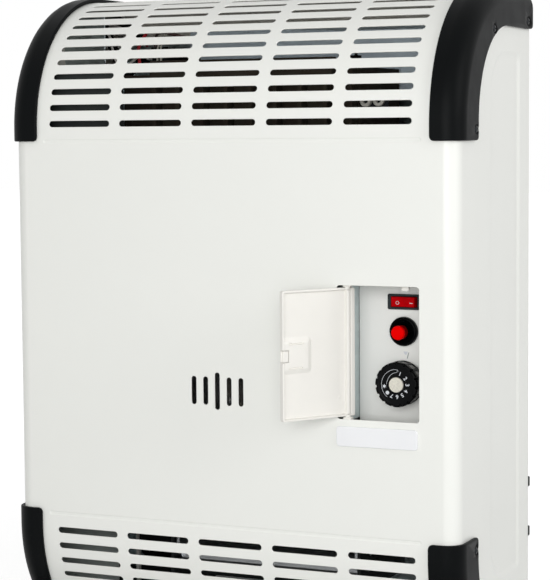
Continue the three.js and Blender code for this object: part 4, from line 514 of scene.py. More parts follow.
@dataclass(frozen=True)
class Rim:
    """A rectangle with round corners, tighter or wider at one end than at the other."""

    x0: float
    y0: float
    x1: float
    y1: float
    radius: float
    far_radius: float = 0.0

    def radii(self) -> Point2:
        """The corners' radii at both ends."""
        return self.radius, self.far_radius or self.radius

    def depth(self, x: float, y: float) -> float:
        """How far inside the edge a point lies.

        Args:
            x, y: Its two numbers.

        Returns:
            The distance, negative outside.
        """
        near, far = self.radii()
        radius, across = 0.0, 0.0
        if x < self.x0 + near:
            radius, across = near, self.x0 + near - x
        elif x > self.x1 - far:
            radius, across = far, x - self.x1 + far
        along = max(self.y0 + radius - y, y - self.y1 + radius)
        if across > 0 and along > 0:
            return radius - math.hypot(across, along)
        return min(x - self.x0, self.x1 - x, y - self.y0, self.y1 - y)

    def loop(self, inset: float = 0.0, steps: int = 8) -> Loop2:
        """The outline, drawn in.

        Args:
            inset: How far.
            steps: Facets on each corner.

        Returns:
            The outline.
        """
        x0, y0, x1, y1 = self.x0 + inset, self.y0 + inset, self.x1 - inset, self.y1 - inset
        near, far = (max(r - inset, 0.05) for r in self.radii())
        corners = [(x1 - far, y0 + far, far, 270), (x1 - far, y1 - far, far, 0)]
        corners += [(x0 + near, y1 - near, near, 90), (x0 + near, y0 + near, near, 180)]
        return [p for x, y, radius, start in corners for p in arc((x, y), radius, start, start + 90, steps)]


@dataclass(frozen=True)
class Pressing:
    """A pressed or moulded form: inside its rim the surface slopes to a level of its own."""

    rim: Rim
    level: float
    slope: float
    steps: int = 8

    def lift(self, x: float, y: float, height: float) -> float:
        """The surface's height at a point, from the height without this form."""
        return height + (self.level - height) * eased(self.rim.depth(x, y) / self.slope)

    def loops(self) -> list[Loop2]:
        """Lines that the mesh follows to show the slope."""
        return [self.rim.loop(self.slope * k / 4, self.steps) for k in range(5)]


Surface = Callable[[float, float], Spot]


@dataclass(frozen=True)
class Relief:
    """A surface with pressings in it, one after another."""

    base: Surface
    pressings: tuple[Pressing, ...]
    probe: float = 0.04

    def height(self, a: float, b: float) -> float:
        """Height over the base at a place."""
        return reduce(lambda height, pressing: pressing.lift(a, b, height), self.pressings, 0.0)

    def at(self, a: float, b: float) -> Spot:
        """The surface at a place.

        Args:
            a, b: The place's two numbers.

        Returns:
            The point, and the normal.
        """
        step = self.probe
        point, normal = self.base(a, b)
        here = self.height(a, b)
        around = [(a + step, b), (a - step, b), (a, b + step), (a, b - step)]
        heights = [self.height(*p) for p in around]
        if max(heights) - min(heights) < 1e-7:
            return point + normal * here, normal
        bases = [self.base(*p) for p in around]
        east, west, north, south = (q + m * h for (q, m), h in zip(bases, heights))
        tilted = (east - west).cross(north - south).normalized()
        return point + normal * here, tilted if tilted.dot(normal) > 0 else -tilted

    def loops(self) -> list[Loop2]:
        """Lines that the mesh follows."""
        return [loop for pressing in self.pressings for loop in pressing.loops()]


# --- forms
@dataclass
class Form:
    """A surface in the making, in millimetres. Its normals are kept only where it knows them."""

    points: list[Vector] = field(default_factory=list)
    faces: list[Face] = field(default_factory=list)
    normals: list[Vector] = field(default_factory=list)

    def plus(self, *others: "Form") -> "Form":
        """This form and others as one.

        Args:
            others: What is added.

        Returns:
            A new form, with normals if all of them have some.
        """
        made = Form(list(self.points), list(self.faces), list(self.normals))
        for other in others:
            start = len(made.points)
            made.points += other.points
            made.normals += other.normals
            made.faces += [tuple(start + i for i in face) for face in other.faces]
        if len(made.normals) != len(made.points):
            made.normals = []
        return made

    def moved(self, matrix: Matrix) -> "Form":
        """This form after a move, turn or mirror.

        Args:
            matrix: The change.

        Returns:
            A new form.
        """
        turn = matrix.to_3x3()
        flip = turn.determinant() < 0
        faces = [tuple(reversed(f)) for f in self.faces] if flip else list(self.faces)
        normals = [(turn @ n).normalized() for n in self.normals]
        return Form([matrix @ p for p in self.points], faces, normals)


def filled(
    outline: Loop2, holes: Sequence[Loop2], extra: Iterable[Point2], lines: Sequence[Loop2]
) -> tuple[Loop2, list[Face]]:
    """Triangles that fill an outline, round its holes, through extra points and along lines.

    Args:
        outline: The closed outer outline.
        holes: Closed outlines that stay open.
        extra: Points that the triangles run through. Those outside, or by a hole, are left out.
        lines: Closed outlines that the triangles follow.

    Returns:
        The points and the triangles.
    """
    spans = [tuple(pick(p[k] for p in hole) for k in (0, 1) for pick in (min, max)) for hole in holes]

    def open_at(point: Sequence[float], margin: float) -> bool:
        """Says whether a point lies in a hole, or near one.

        Args:
            point: Its two numbers.
            margin: How far outside a hole's box still counts.

        Returns:
            True where it does.
        """
        for hole, (x0, x1, y0, y1) in zip(holes, spans):
            if x0 - margin < point[0] < x1 + margin and y0 - margin < point[1] < y1 + margin:
                if margin > 0 or inside(point, hole):
                    return True
        return False

    coordinates: list[Vector] = []
    edges: list[tuple[int, int]] = []
    for loop in [outline, *holes, *lines]:
        start, count = len(coordinates), len(loop)
        coordinates += [Vector(p) for p in loop]
        edges += [(start + i, start + (i + 1) % count) for i in range(count)]
    coordinates += [Vector(p) for p in extra if inside(p, outline) and not open_at(p, 0.8)]
    found = delaunay_2d_cdt(coordinates, edges, [], 0, 1e-4, False)
    points = [(p.x, p.y) for p in found[0]]
    kept = []
    for face in found[2]:
        middle = [sum(points[i][k] for i in face) / 3 for k in (0, 1)]
        if inside(middle, outline) and not open_at(middle, 0.0):
            kept.append(tuple(face))
    used = sorted({i for face in kept for i in face})
    new = {old: k for k, old in enumerate(used)}
    return [points[i] for i in used], [tuple(new[i] for i in face) for face in kept]


def skin(
    surface: Surface,
    outline: Loop2,
    holes: Sequence[Loop2] = (),
    extra: Iterable[Point2] = (),
    lines: Sequence[Loop2] = (),
) -> Form:
    """Lays a filled outline on a curved surface.

    Args:
        surface: Gives the point and the normal for two numbers.
        outline: The closed outer outline.
        holes: Closed outlines that stay open.
        extra: Points that the mesh runs through.
        lines: Closed outlines that the mesh follows.

    Returns:
        The skin, with its normals.
    """
    flat, faces = filled(outline, holes, extra, lines)
    laid = [surface(*p) for p in flat]
    points, normals = [p for p, _ in laid], [n for _, n in laid]
    turned_faces = []
    for face in faces:
        a, b, c = (points[i] for i in face)
        way = (b - a).cross(c - a).dot(normals[face[0]] + normals[face[1]] + normals[face[2]])
        turned_faces.append(face if way > 0 else tuple(reversed(face)))
    return Form(points, turned_faces, normals)


def merged(form: Form, grid: float = 0.01) -> Form:
    """Joins points that fall together, as along the seam of two skins.

    Args:
        form: The skins as one form.
        grid: How close counts as together.

    Returns:
        The joined form.
    """
    place: dict[tuple[int, ...], int] = {}
    points: list[Vector] = []
    normals: list[Vector] = []
    new: list[int] = []
    for point, normal in zip(form.points, form.normals):
        key = tuple(round(v / grid) for v in point)
        if key not in place:
            place[key] = len(points)
            points.append(point)
            normals.append(normal)
        new.append(place[key])
    faces = [tuple(new[i] for i in face) for face in form.faces]
    return Form(points, [f for f in faces if len(set(f)) == len(f)], normals)


def thickened(
    form: Form, thickness: float, lip: float, steps: int = 3, back: Callable[[Vector], Vector] | None = None
) -> Form:
    """Gives a skin a thickness below it, with every free edge rounded.

    Args:
        form: A skin with its normals. Free edges end up lip outside its own.
        thickness: How thick the sheet is.
        lip: The radius of the rounded edges.
        steps: Facets on each rounding.
        back: Where each point has its fellow on the underside, if that isn't simply below it.

    Returns:
        The closed sheet, with normals. Its faces are the skin's own, then the underside's, then the edges'.
    """
    count = len(form.points)
    under = [back(p) if back else p - n * thickness for p, n in zip(form.points, form.normals)]
    points = list(form.points) + under
    down = [(u - p).normalized() if back else -n for u, p, n in zip(under, form.points, form.normals)]
    normals = list(form.normals) + down
    faces = list(form.faces) + [tuple(count + i for i in reversed(face)) for face in form.faces]
    directed = {(f[i], f[(i + 1) % len(f)]) for f in form.faces for i in range(len(f))}
    free = [(a, b) for a, b in directed if (b, a) not in directed]
    outward: dict[int, list[Vector]] = {}
    for a, b in free:
        away = (form.points[b] - form.points[a]).cross(form.normals[a] + form.normals[b]).normalized()
        outward.setdefault(a, []).append(away)
        outward.setdefault(b, []).append(away)
    rings: dict[int, list[int]] = {}
    turns = [math.pi / 2 * k / steps for k in range(1, steps + 1)]
    for index in sorted(outward):
        ways = outward[index]
        away = sum(ways, Vector()).normalized()
        stretch = 1 / max(away.dot(ways[0]), 0.6)
        point, normal = form.points[index], -down[index]
        ring = [index]
        for side, depth in ((1, 0.0), (-1, (under[index] - point).length)):
            for turn in turns if side > 0 else reversed(turns):
                out = lip * math.sin(turn) * stretch
                drop = depth + side * lip * (1 - math.cos(turn))
                points.append(point + away * out - normal * drop)
                normals.append((normal * side * math.cos(turn) + away * math.sin(turn)).normalized())
                ring.append(len(points) - 1)
        rings[index] = [*ring, count + index]
    for a, b in sorted(free):
        for k in range(len(rings[a]) - 1):
            faces.append((rings[b][k], rings[a][k], rings[a][k + 1], rings[b][k + 1]))
    return Form(points, faces, normals)


@dataclass(frozen=True)
class Plane:
    """A flat place for outlines: origin, directions of their two numbers, and the side that faces out."""

    origin: Point3 = (0.0, 0.0, 0.0)
    right: Point3 = (1.0, 0.0, 0.0)
    up: Point3 = (0.0, 0.0, 1.0)
    out: Point3 = (0.0, -1.0, 0.0)

    def at(self, a: float, b: float) -> Spot:
        """The point for two numbers, and the normal."""
        return Vector(self.origin) + Vector(self.right) * a + Vector(self.up) * b, Vector(self.out)


def plate(
    plane: Plane, outline: Loop2, holes: Sequence[Loop2], thickness: float, lip: float, steps: int = 3
) -> Form:
    """A flat plate with rounded edges, whose outer face lies in a plane."""
    wider = [drawn_in(hole, -lip) for hole in holes]
    return thickened(skin(plane.at, drawn_in(outline, lip), wider), thickness, lip, steps)


def block(low: Sequence[float], high: Sequence[float], radius: float, segments: int = 3) -> Form:
    """A block with rounded edges.

    Args:
        low, high: Its lowest and highest corners.
        radius: The edges' radius.
        segments: Facets across each edge.

    Returns:
        The block.
    """
    shape = bmesh.new()
    bmesh.ops.create_cube(shape, size=1.0)
    size = [h - l for l, h in zip(low, high)]
    middle = [(h + l) / 2 for l, h in zip(low, high)]
    stretch = Matrix.Translation(middle) @ Matrix.Diagonal((*size, 1))
    bmesh.ops.transform(shape, matrix=stretch, verts=shape.verts)
    edges = {"geom": shape.edges[:], "affect": "EDGES", "clamp_overlap": True}
    bmesh.ops.bevel(shape, offset=radius, segments=segments, profile=0.5, **edges)
    return form_of(shape)


def blocks(boxes: Iterable[Box3], radius: float, segments: int = 3) -> Form:
    """Blocks with rounded edges as one form, from their lowest and highest corners."""
    return Form().plus(*(block(low, high, radius, segments) for low, high in boxes))


def form_of(shape: bmesh.types.BMesh) -> Form:
    """Makes a form from a bmesh, and frees that.

    Args:
        shape: The bmesh.

    Returns:
        The form, its faces turned outward.
    """
    bmesh.ops.recalc_face_normals(shape, faces=shape.faces)
    shape.verts.index_update()
    made = Form([v.co.copy() for v in shape.verts], [tuple(v.index for v in f.verts) for f in shape.faces])
    shape.free()
    return made


def joined(shape: bmesh.types.BMesh, rings: Iterable[tuple[list, list]]) -> None:
    """Spans pairs of rings of vertices with faces. A ring may be one vertex.

    Args:
        shape: The bmesh that holds them.
        rings: The pairs.
    """
    for low, high in rings:
        sides = max(len(low), len(high))
        for i in range(sides):
            j = (i + 1) % sides
            corners = [low[i % len(low)], low[j % len(low)], high[j % len(high)], high[i % len(high)]]
            face = list(dict.fromkeys(corners))
            if len(face) > 2:
                shape.faces.new(face)


def turned(profile: Sequence[Point2], sides: int, place: Point3 = (0, 0, 0), axis: str = "y") -> Form:
    """A round body about an axis. Its profile starts and ends on the axis, or closes on itself.

    Args:
        profile: Radius and distance along the axis, one pair after another.
        sides: Facets round the axis.
        place: A point on the axis.
        axis: The axis's letter.

    Returns:
        The closed body.
    """
    shape = bmesh.new()
    angles = [2 * math.pi * i / sides for i in range(sides)]
    rings = []
    for radius, along in profile:
        ways = [(math.cos(a), math.sin(a)) for a in angles] if radius else [(0, 0)]
        rings.append([shape.verts.new((radius * x, radius * y, along)) for x, y in ways])
    joined(shape, zip(rings, rings[1:]))
    if profile[0][0]:
        joined(shape, [(rings[-1], rings[0])])
    quarter = math.pi / 2
    turns = {"x": Matrix.Rotation(quarter, 4, "Y"), "y": Matrix.Rotation(-quarter, 4, "X"), "z": Matrix()}
    return form_of(shape).moved(Matrix.Translation(place) @ turns[axis])


def smooth_route(points: Sequence[Sequence[float]], steps: int) -> list[Vector]:
    """A smooth line through points.

    Args:
        points: The points.
        steps: Points of the line from each to the next.

    Returns:
        The line.
    """
    knots = [Vector(p) for p in points]
    knots = [knots[0] * 2 - knots[1], *knots, knots[-1] * 2 - knots[-2]]
    line = []
    for a, b, c, d in zip(knots, knots[1:], knots[2:], knots[3:]):
        for k in range(steps):
            t = k / steps
            bend, twist = 2 * a - 5 * b + 4 * c - d, 3 * b - a - 3 * c + d
            line.append(0.5 * (2 * b + (c - a) * t + bend * t**2 + twist * t**3))
    return [*line, knots[-2]]


def cable(points: Sequence[Sequence[float]], radius: float, steps: int = 6, sides: int = 12) -> Form:
    """A round lead or pipe along a smooth line, with closed ends.

    Args:
        points: What the line runs through.
        radius: The lead's radius.
        steps: Points of the line from each to the next.
        sides: Facets round it.

    Returns:
        The lead.
    """
    line = smooth_route(points, steps)
    shape = bmesh.new()
    angles = [2 * math.pi * k / sides for k in range(sides)]
    side = (line[1] - line[0]).orthogonal().normalized()
    rings = []
    for i, point in enumerate(line):
        ahead = (line[min(i + 1, len(line) - 1)] - line[max(i - 1, 0)]).normalized()
        side = (side - ahead * side.dot(ahead)).normalized()
        other = ahead.cross(side)
        spots = [point + (side * math.cos(a) + other * math.sin(a)) * radius for a in angles]
        rings.append([shape.verts.new(spot) for spot in spots])
    joined(shape, zip(rings, rings[1:]))
    shape.faces.new(rings[0])
    shape.faces.new(rings[-1])
    return form_of(shape)


def lettering(text: str, height: float, depth: float) -> Form:
    """Generic figures as thin raised print in the XZ plane, centred, facing -Y.

    Args:
        text: The figures.
        height: Their size.
        depth: How thick the print is.

    Returns:
        The print.
    """
    widened = 0.018
    curve = bpy.data.curves.new("figures", "FONT")
    curve.body = text
    curve.size = height
    curve.offset = height * widened
    curve.extrude = depth / 2
    curve.align_x = "CENTER"
    curve.align_y = "CENTER"
    text_object = shown("figures", curve)
    mesh = text_object.to_mesh()
    shape = bmesh.new()
    shape.from_mesh(mesh)
    bmesh.ops.remove_doubles(shape, verts=shape.verts, dist=1e-4)
    bpy.data.objects.remove(text_object)
    bpy.data.curves.remove(curve)
    return form_of(shape).moved(Matrix.Rotation(math.pi / 2, 4, "X"))


# --- pieces
def shown(name: str, data: bpy.types.ID) -> bpy.types.Object:
    """Puts data into the scene.

    Args:
        name: The object's name.
        data: Its mesh, curve, lamp or camera.

    Returns:
        The new object.
    """
    made = bpy.data.objects.new(name, data)
    bpy.context.scene.collection.objects.link(made)
    return made


def node_box(name: str) -> tuple[list[float], list[float]]:
    """A CAD node's lowest and highest corner, in millimetres."""
    low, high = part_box(name)
    return [v / MM for v in low], [v / MM for v in high]


def piece(
    name: str, form: Form, finish: Finish, slot: str, replaces: Sequence[str] = (), body: Body = Body.HEATER
) -> bpy.types.Object:
    """Makes a visible piece from a form and ties it to the frame.

    Args:
        name: The piece's name.
        form: Its shape, in millimetres.
        finish: What it is made of.
        slot: The record's material slot; not used.
        replaces: CAD nodes that it stands for.
        body: The body that it rides on.

    Returns:
        The piece's object.
    """
    mesh = bpy.data.meshes.new(name)
    mesh.from_pydata([p * MM for p in form.points], [], form.faces)
    mesh.validate(clean_customdata=False)
    mesh.materials.append(finish.material())
    made = shown(name, mesh)
    mesh.shade_smooth()
    if form.normals and len(form.normals) == len(mesh.vertices):
        mesh.normals_split_custom_set_from_vertices(form.normals)
    else:
        mesh.set_sharp_from_angle(angle=SHARP_EDGE)
        weighted = made.modifiers.new("face_weighted", "WEIGHTED_NORMAL")
        weighted.keep_sharp = True
    if replaces:
        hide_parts(*replaces)
    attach(made, body.value)
    LOG.info("made %s with %d faces", name, len(mesh.polygons))
    return made


# --- casing
@dataclass(frozen=True)
class SideProfile:
    """The casing's side view as a line: its distance s is the height on the upright front."""

    front: float = -223.0
    rear: float = -8.0
    top: float = 302.5
    bottom: float = -302.5
    bend: float = 129.0
    upper: float = 173.5
    lower: float = -216.5
    bend_steps: int = 30
    low_steps: int = 16
    front_steps: int = 12
    top_steps: int = 3

    @property
    def bend_y(self) -> float:
        """Depth of both bends' centres."""
        return self.front + self.bend

    @property
    def level(self) -> float:
        """Distance where the upper bend ends and the flat top begins."""
        return self.upper + self.bend * math.pi / 2

    @property
    def end(self) -> float:
        """Distance at the top's rear edge."""
        return self.level + self.rear - self.bend_y

    def at(self, s: float) -> tuple[Point2, Point2]:
        """The line at a distance.

        Args:
            s: The distance.

        Returns:
            Depth and height there, and the outward normal.
        """
        if s > self.level:
            return (self.bend_y + s - self.level, self.top), (0.0, 1.0)
        if self.lower <= s <= self.upper:
            return (self.front, s), (-1.0, 0.0)
        centre = self.upper if s > 0 else self.lower
        turn = (s - centre) / self.bend
        normal = (-math.cos(turn), math.sin(turn))
        return (self.bend_y + self.bend * normal[0], centre + self.bend * normal[1]), normal

    def of(self, y: float, z: float) -> Point2:
        """Where a point of the side lies from the line.

        Args:
            y, z: The point's depth and height.

        Returns:
            Distance along the line, and depth below it.
        """
        if z > self.upper and y >= self.bend_y:
            return self.level + y - self.bend_y, self.top - z
        if self.lower <= z <= self.upper:
            return z, y - self.front
        centre = self.upper if z > 0 else self.lower
        back, up = self.bend_y - y, z - centre
        return centre + self.bend * math.atan2(up, back), self.bend - math.hypot(back, up)

    def cut(self, depth: float) -> float:
        """Distance at which a line at a depth below the surface meets the casing's bottom."""
        ratio = (self.lower - self.bottom) / (self.bend - depth)
        return self.lower - self.bend * math.asin(ratio)

    def levels(self) -> list[float]:
        """Where sheets and trims are sampled, from low on the lower bend to the top's rear edge.

        Returns:
            The distances.
        """
        bend = self.bend * math.pi / 2
        made = [self.lower - bend * k / self.bend_steps for k in range(self.low_steps, 0, -1)]
        rise = self.upper - self.lower
        made += [self.lower + rise * k / self.front_steps for k in range(self.front_steps + 1)]
        made += [self.upper + bend * k / self.bend_steps for k in range(1, self.bend_steps + 1)]
        back = self.end - self.level
        return made + [self.level + back * k / self.top_steps for k in range(1, self.top_steps + 1)]


@dataclass(frozen=True)
class Wrap:
    """The casing's skin laid flat: u runs across the front and round both corners, s up the profile."""

    profile: SideProfile = SideProfile()
    half_width: float = 230.0
    corner: float = 15.0
    offset: float = 0.0
    corner_steps: int = 8

    @property
    def flat(self) -> float:
        """Where the corner's rounding begins."""
        return self.half_width - self.corner

    @property
    def side(self) -> float:
        """Where the rounding ends and the side begins."""
        return self.flat + self.corner * math.pi / 2

    def inward(self, u: float) -> float:
        """How far the skin lies inside the side profile's own line.

        Args:
            u: Place across.

        Returns:
            The distance.
        """
        beyond = max(0.0, abs(u) - self.flat)
        if beyond <= self.corner * math.pi / 2:
            return self.corner - (self.corner + self.offset) * math.cos(beyond / self.corner)
        return self.corner + abs(u) - self.side

    def at(self, u: float, s: float) -> Spot:
        """The skin at a place.

        Args:
            u, s: The place, across and up the profile.

        Returns:
            The point, and the outward normal.
        """
        (y, z), (ny, nz) = self.profile.at(s)
        sign = math.copysign(1.0, u)
        beyond = max(0.0, abs(u) - self.flat)
        turn = min(beyond / self.corner, math.pi / 2)
        x = min(abs(u), self.flat) + (self.corner + self.offset) * math.sin(turn)
        inward = self.inward(u)
        point = Vector((sign * x, y - ny * inward, z - nz * inward))
        normal = Vector((sign * math.sin(turn), ny * math.cos(turn), nz * math.cos(turn)))
        return point, normal.normalized()

    def cut(self, u: float) -> float:
        """The distance s at which the skin meets the casing's bottom at u."""
        return self.profile.cut(self.inward(u))

    def turns(self) -> list[float]:
        """Values of u on one corner's rounding, from flat to side."""
        width, count = self.side - self.flat, self.corner_steps
        return [self.flat + width * i / count for i in range(count + 1)]


@dataclass
class Casing:
    """The enamelled cover: louvred bends, pressed lines, slots, the controls' opening and recessed sides."""

    wrap: Wrap = Wrap()
    sheet: float = 1.2
    lip: float = 0.45
    flange: float = 12.0
    columns: int = 5
    column_pitch: float = 77.2
    louvre_length: float = 66.4
    louvre_height: float = 6.0
    aside_top: float = -1.0
    aside_bottom: float = 1.8
    row_pitch: float = 15.8
    first_row: float = 16.8
    rows_top: int = 12
    rows_bottom: int = 5
    upper_bead: float = 161.5
    lower_bead: float = -204.5
    bead_length: float = 391.4
    bead_height: float = 4.5
    bead_depth: float = 0.5
    bead_slope: float = 1.4
    view_x: float = -9.5
    view_z: float = -74.9
    view_pitch: float = 12.3
    view_lengths: tuple[float, ...] = (27.0, 27.0, 35.5, 27.0, 27.0)
    view_width: float = 5.0
    opening: Box2 = (113.0, -94.6, 193.3, 28.9)
    opening_radius: float = 3.0
    recess: Box2 = (-129.0, -262.0, -36.5, 244.8)
    recess_radii: Point2 = (42.0, 10.0)
    recess_depth: float = 2.0
    recess_slope: float = 7.5

    def slots(self) -> list[Loop2]:
        """Outlines of every hole in the front, grown by the lip.

        Returns:
            Closed outlines in u and s.
        """
        grow = 2 * self.lip
        loops = []
        rows = [self.upper_bead + self.first_row + k * self.row_pitch for k in range(self.rows_top)]
        rows += [self.lower_bead - self.first_row - k * self.row_pitch for k in range(self.rows_bottom)]
        for s in rows:
            for column in range(self.columns):
                aside = self.aside_top if s > 0 else self.aside_bottom
                u = (column - (self.columns - 1) / 2) * self.column_pitch + aside
                loops.append(capsule((u, s), self.louvre_length + grow, self.louvre_height + grow))
        for i, length in enumerate(self.view_lengths):
            u = self.view_x + (i - (len(self.view_lengths) - 1) / 2) * self.view_pitch
            loops.append(capsule((u, self.view_z), length + grow, self.view_width + grow, upright=True))
        x0, z0, x1, z1 = self.opening
        lip = self.lip
        loops.append(rounded(x0 - lip, z0 - lip, x1 + lip, z1 + lip, self.opening_radius + lip))
        return loops

    def surface(self) -> Relief:
        """The front's skin with its two pressed lines.

        Returns:
            The surface over u and s.
        """
        half, rise = self.bead_length / 2, self.bead_height / 2
        rims = [Rim(-half, z - rise, half, z + rise, rise) for z in (self.upper_bead, self.lower_bead)]
        return Relief(self.wrap.at, tuple(Pressing(rim, -self.bead_depth, self.bead_slope) for rim in rims))

    def front(self) -> Form:
        """The sheet across the front, over both bends and round the upright corners.

        Returns:
            The skin of its outer face.
        """
        wrap, profile = self.wrap, self.wrap.profile
        corner, levels, side = wrap.turns(), profile.levels(), wrap.side
        across = [-u for u in reversed(corner)] + corner
        low = [(u, wrap.cut(u)) for u in across]
        right = [(side, s) for s in levels if s > wrap.cut(side) + 1]
        high = [(u, profile.end) for u in reversed(across)]
        left = [(-side, s) for _, s in reversed(right[:-1])]
        outline = low + right[:-1] + high + left
        inner = [(sign * u, s) for u in corner[:-1] for s in levels for sign in (1, -1)]
        inner += [(u, s) for u in range(-200, 201, 40) for s in levels]
        relief = self.surface()
        return skin(relief.at, outline, self.slots(), inner, relief.loops())

    def side(self) -> Form:
        """The right side inside the corner's rounding.

        Returns:
            The skin of its outer face.
        """
        wrap, profile = self.wrap, self.wrap.profile
        cut = wrap.cut(wrap.side)
        edge = []
        for s in [cut, *[s for s in profile.levels() if s > cut + 1]]:
            point, _ = wrap.at(wrap.side, s)
            edge.append((point.y, point.z))
        outline = [*edge, (profile.rear, profile.bottom)]
        plane = Plane(origin=(wrap.half_width, 0, 0), right=(0, 1, 0), out=(1, 0, 0))
        rim = Rim(*self.recess, *self.recess_radii)
        recess = Pressing(rim, -self.recess_depth, self.recess_slope, 20)
        relief = Relief(plane.at, (recess,))
        inner = [(y, z) for y in range(-200, -8, 24) for z in range(-290, 280, 40)]
        return skin(relief.at, outline, (), inner, relief.loops())

    def rear_flange(self) -> Form:
        """The lip that turns in behind the chassis, round both sides and the top.

        Returns:
            The flange.
        """
        x, corner, steps = self.wrap.half_width, self.wrap.corner, self.wrap.corner_steps
        top, bottom = self.wrap.profile.top, self.wrap.profile.bottom
        inner_x, inner_top = x - self.flange, top - self.flange
        loop = [(-x, bottom), *arc((-x + corner, top - corner), corner, 180, 90, steps)]
        loop += [*arc((x - corner, top - corner), corner, 90, 0, steps), (x, bottom)]
        loop += [(inner_x, bottom), (inner_x, inner_top), (-inner_x, inner_top), (-inner_x, bottom)]
        plane = Plane(origin=(0, self.wrap.profile.rear, 0), out=(0, 1, 0))
        return thickened(skin(plane.at, loop), self.sheet, SQUARE_LIP, 1)

    def build(self) -> None:
        """Makes the casing, painted outside and primed inside."""
        right = self.side()
        face = merged(self.front().plus(right, right.moved(MIRROR_X)))
        shell = thickened(face, self.sheet, self.lip).plus(self.rear_flange())
        made = piece("casing_sheet", shell, WHITE_POWDER_COAT, "white_enamel", ["casing"])
        made.data.materials.append(GREY_PRIMER.material())
        for polygon in made.data.polygons[len(face.faces) : 2 * len(face.faces)]:
            polygon.material_index = 1


def pan_head() -> Form:
    """A screw's pan head with a cross recess, facing +X, its seat at zero.

    Returns:
        The screw.
    """
    profile = [(0, -6), (1.6, -6), (1.6, 0), (3.1, 0), (3.3, 0.4), (3.1, 1.0)]
    profile += [(2.4, 1.5), (1.3, 1.7), (0, 1.75)]
    arms = [block((0.9, -w, -h), (2.4, w, h), 0.12, 1) for w, h in ((0.45, 1.9), (1.9, 0.45))]
    return cut_from(turned(profile, 24, axis="x"), arms)


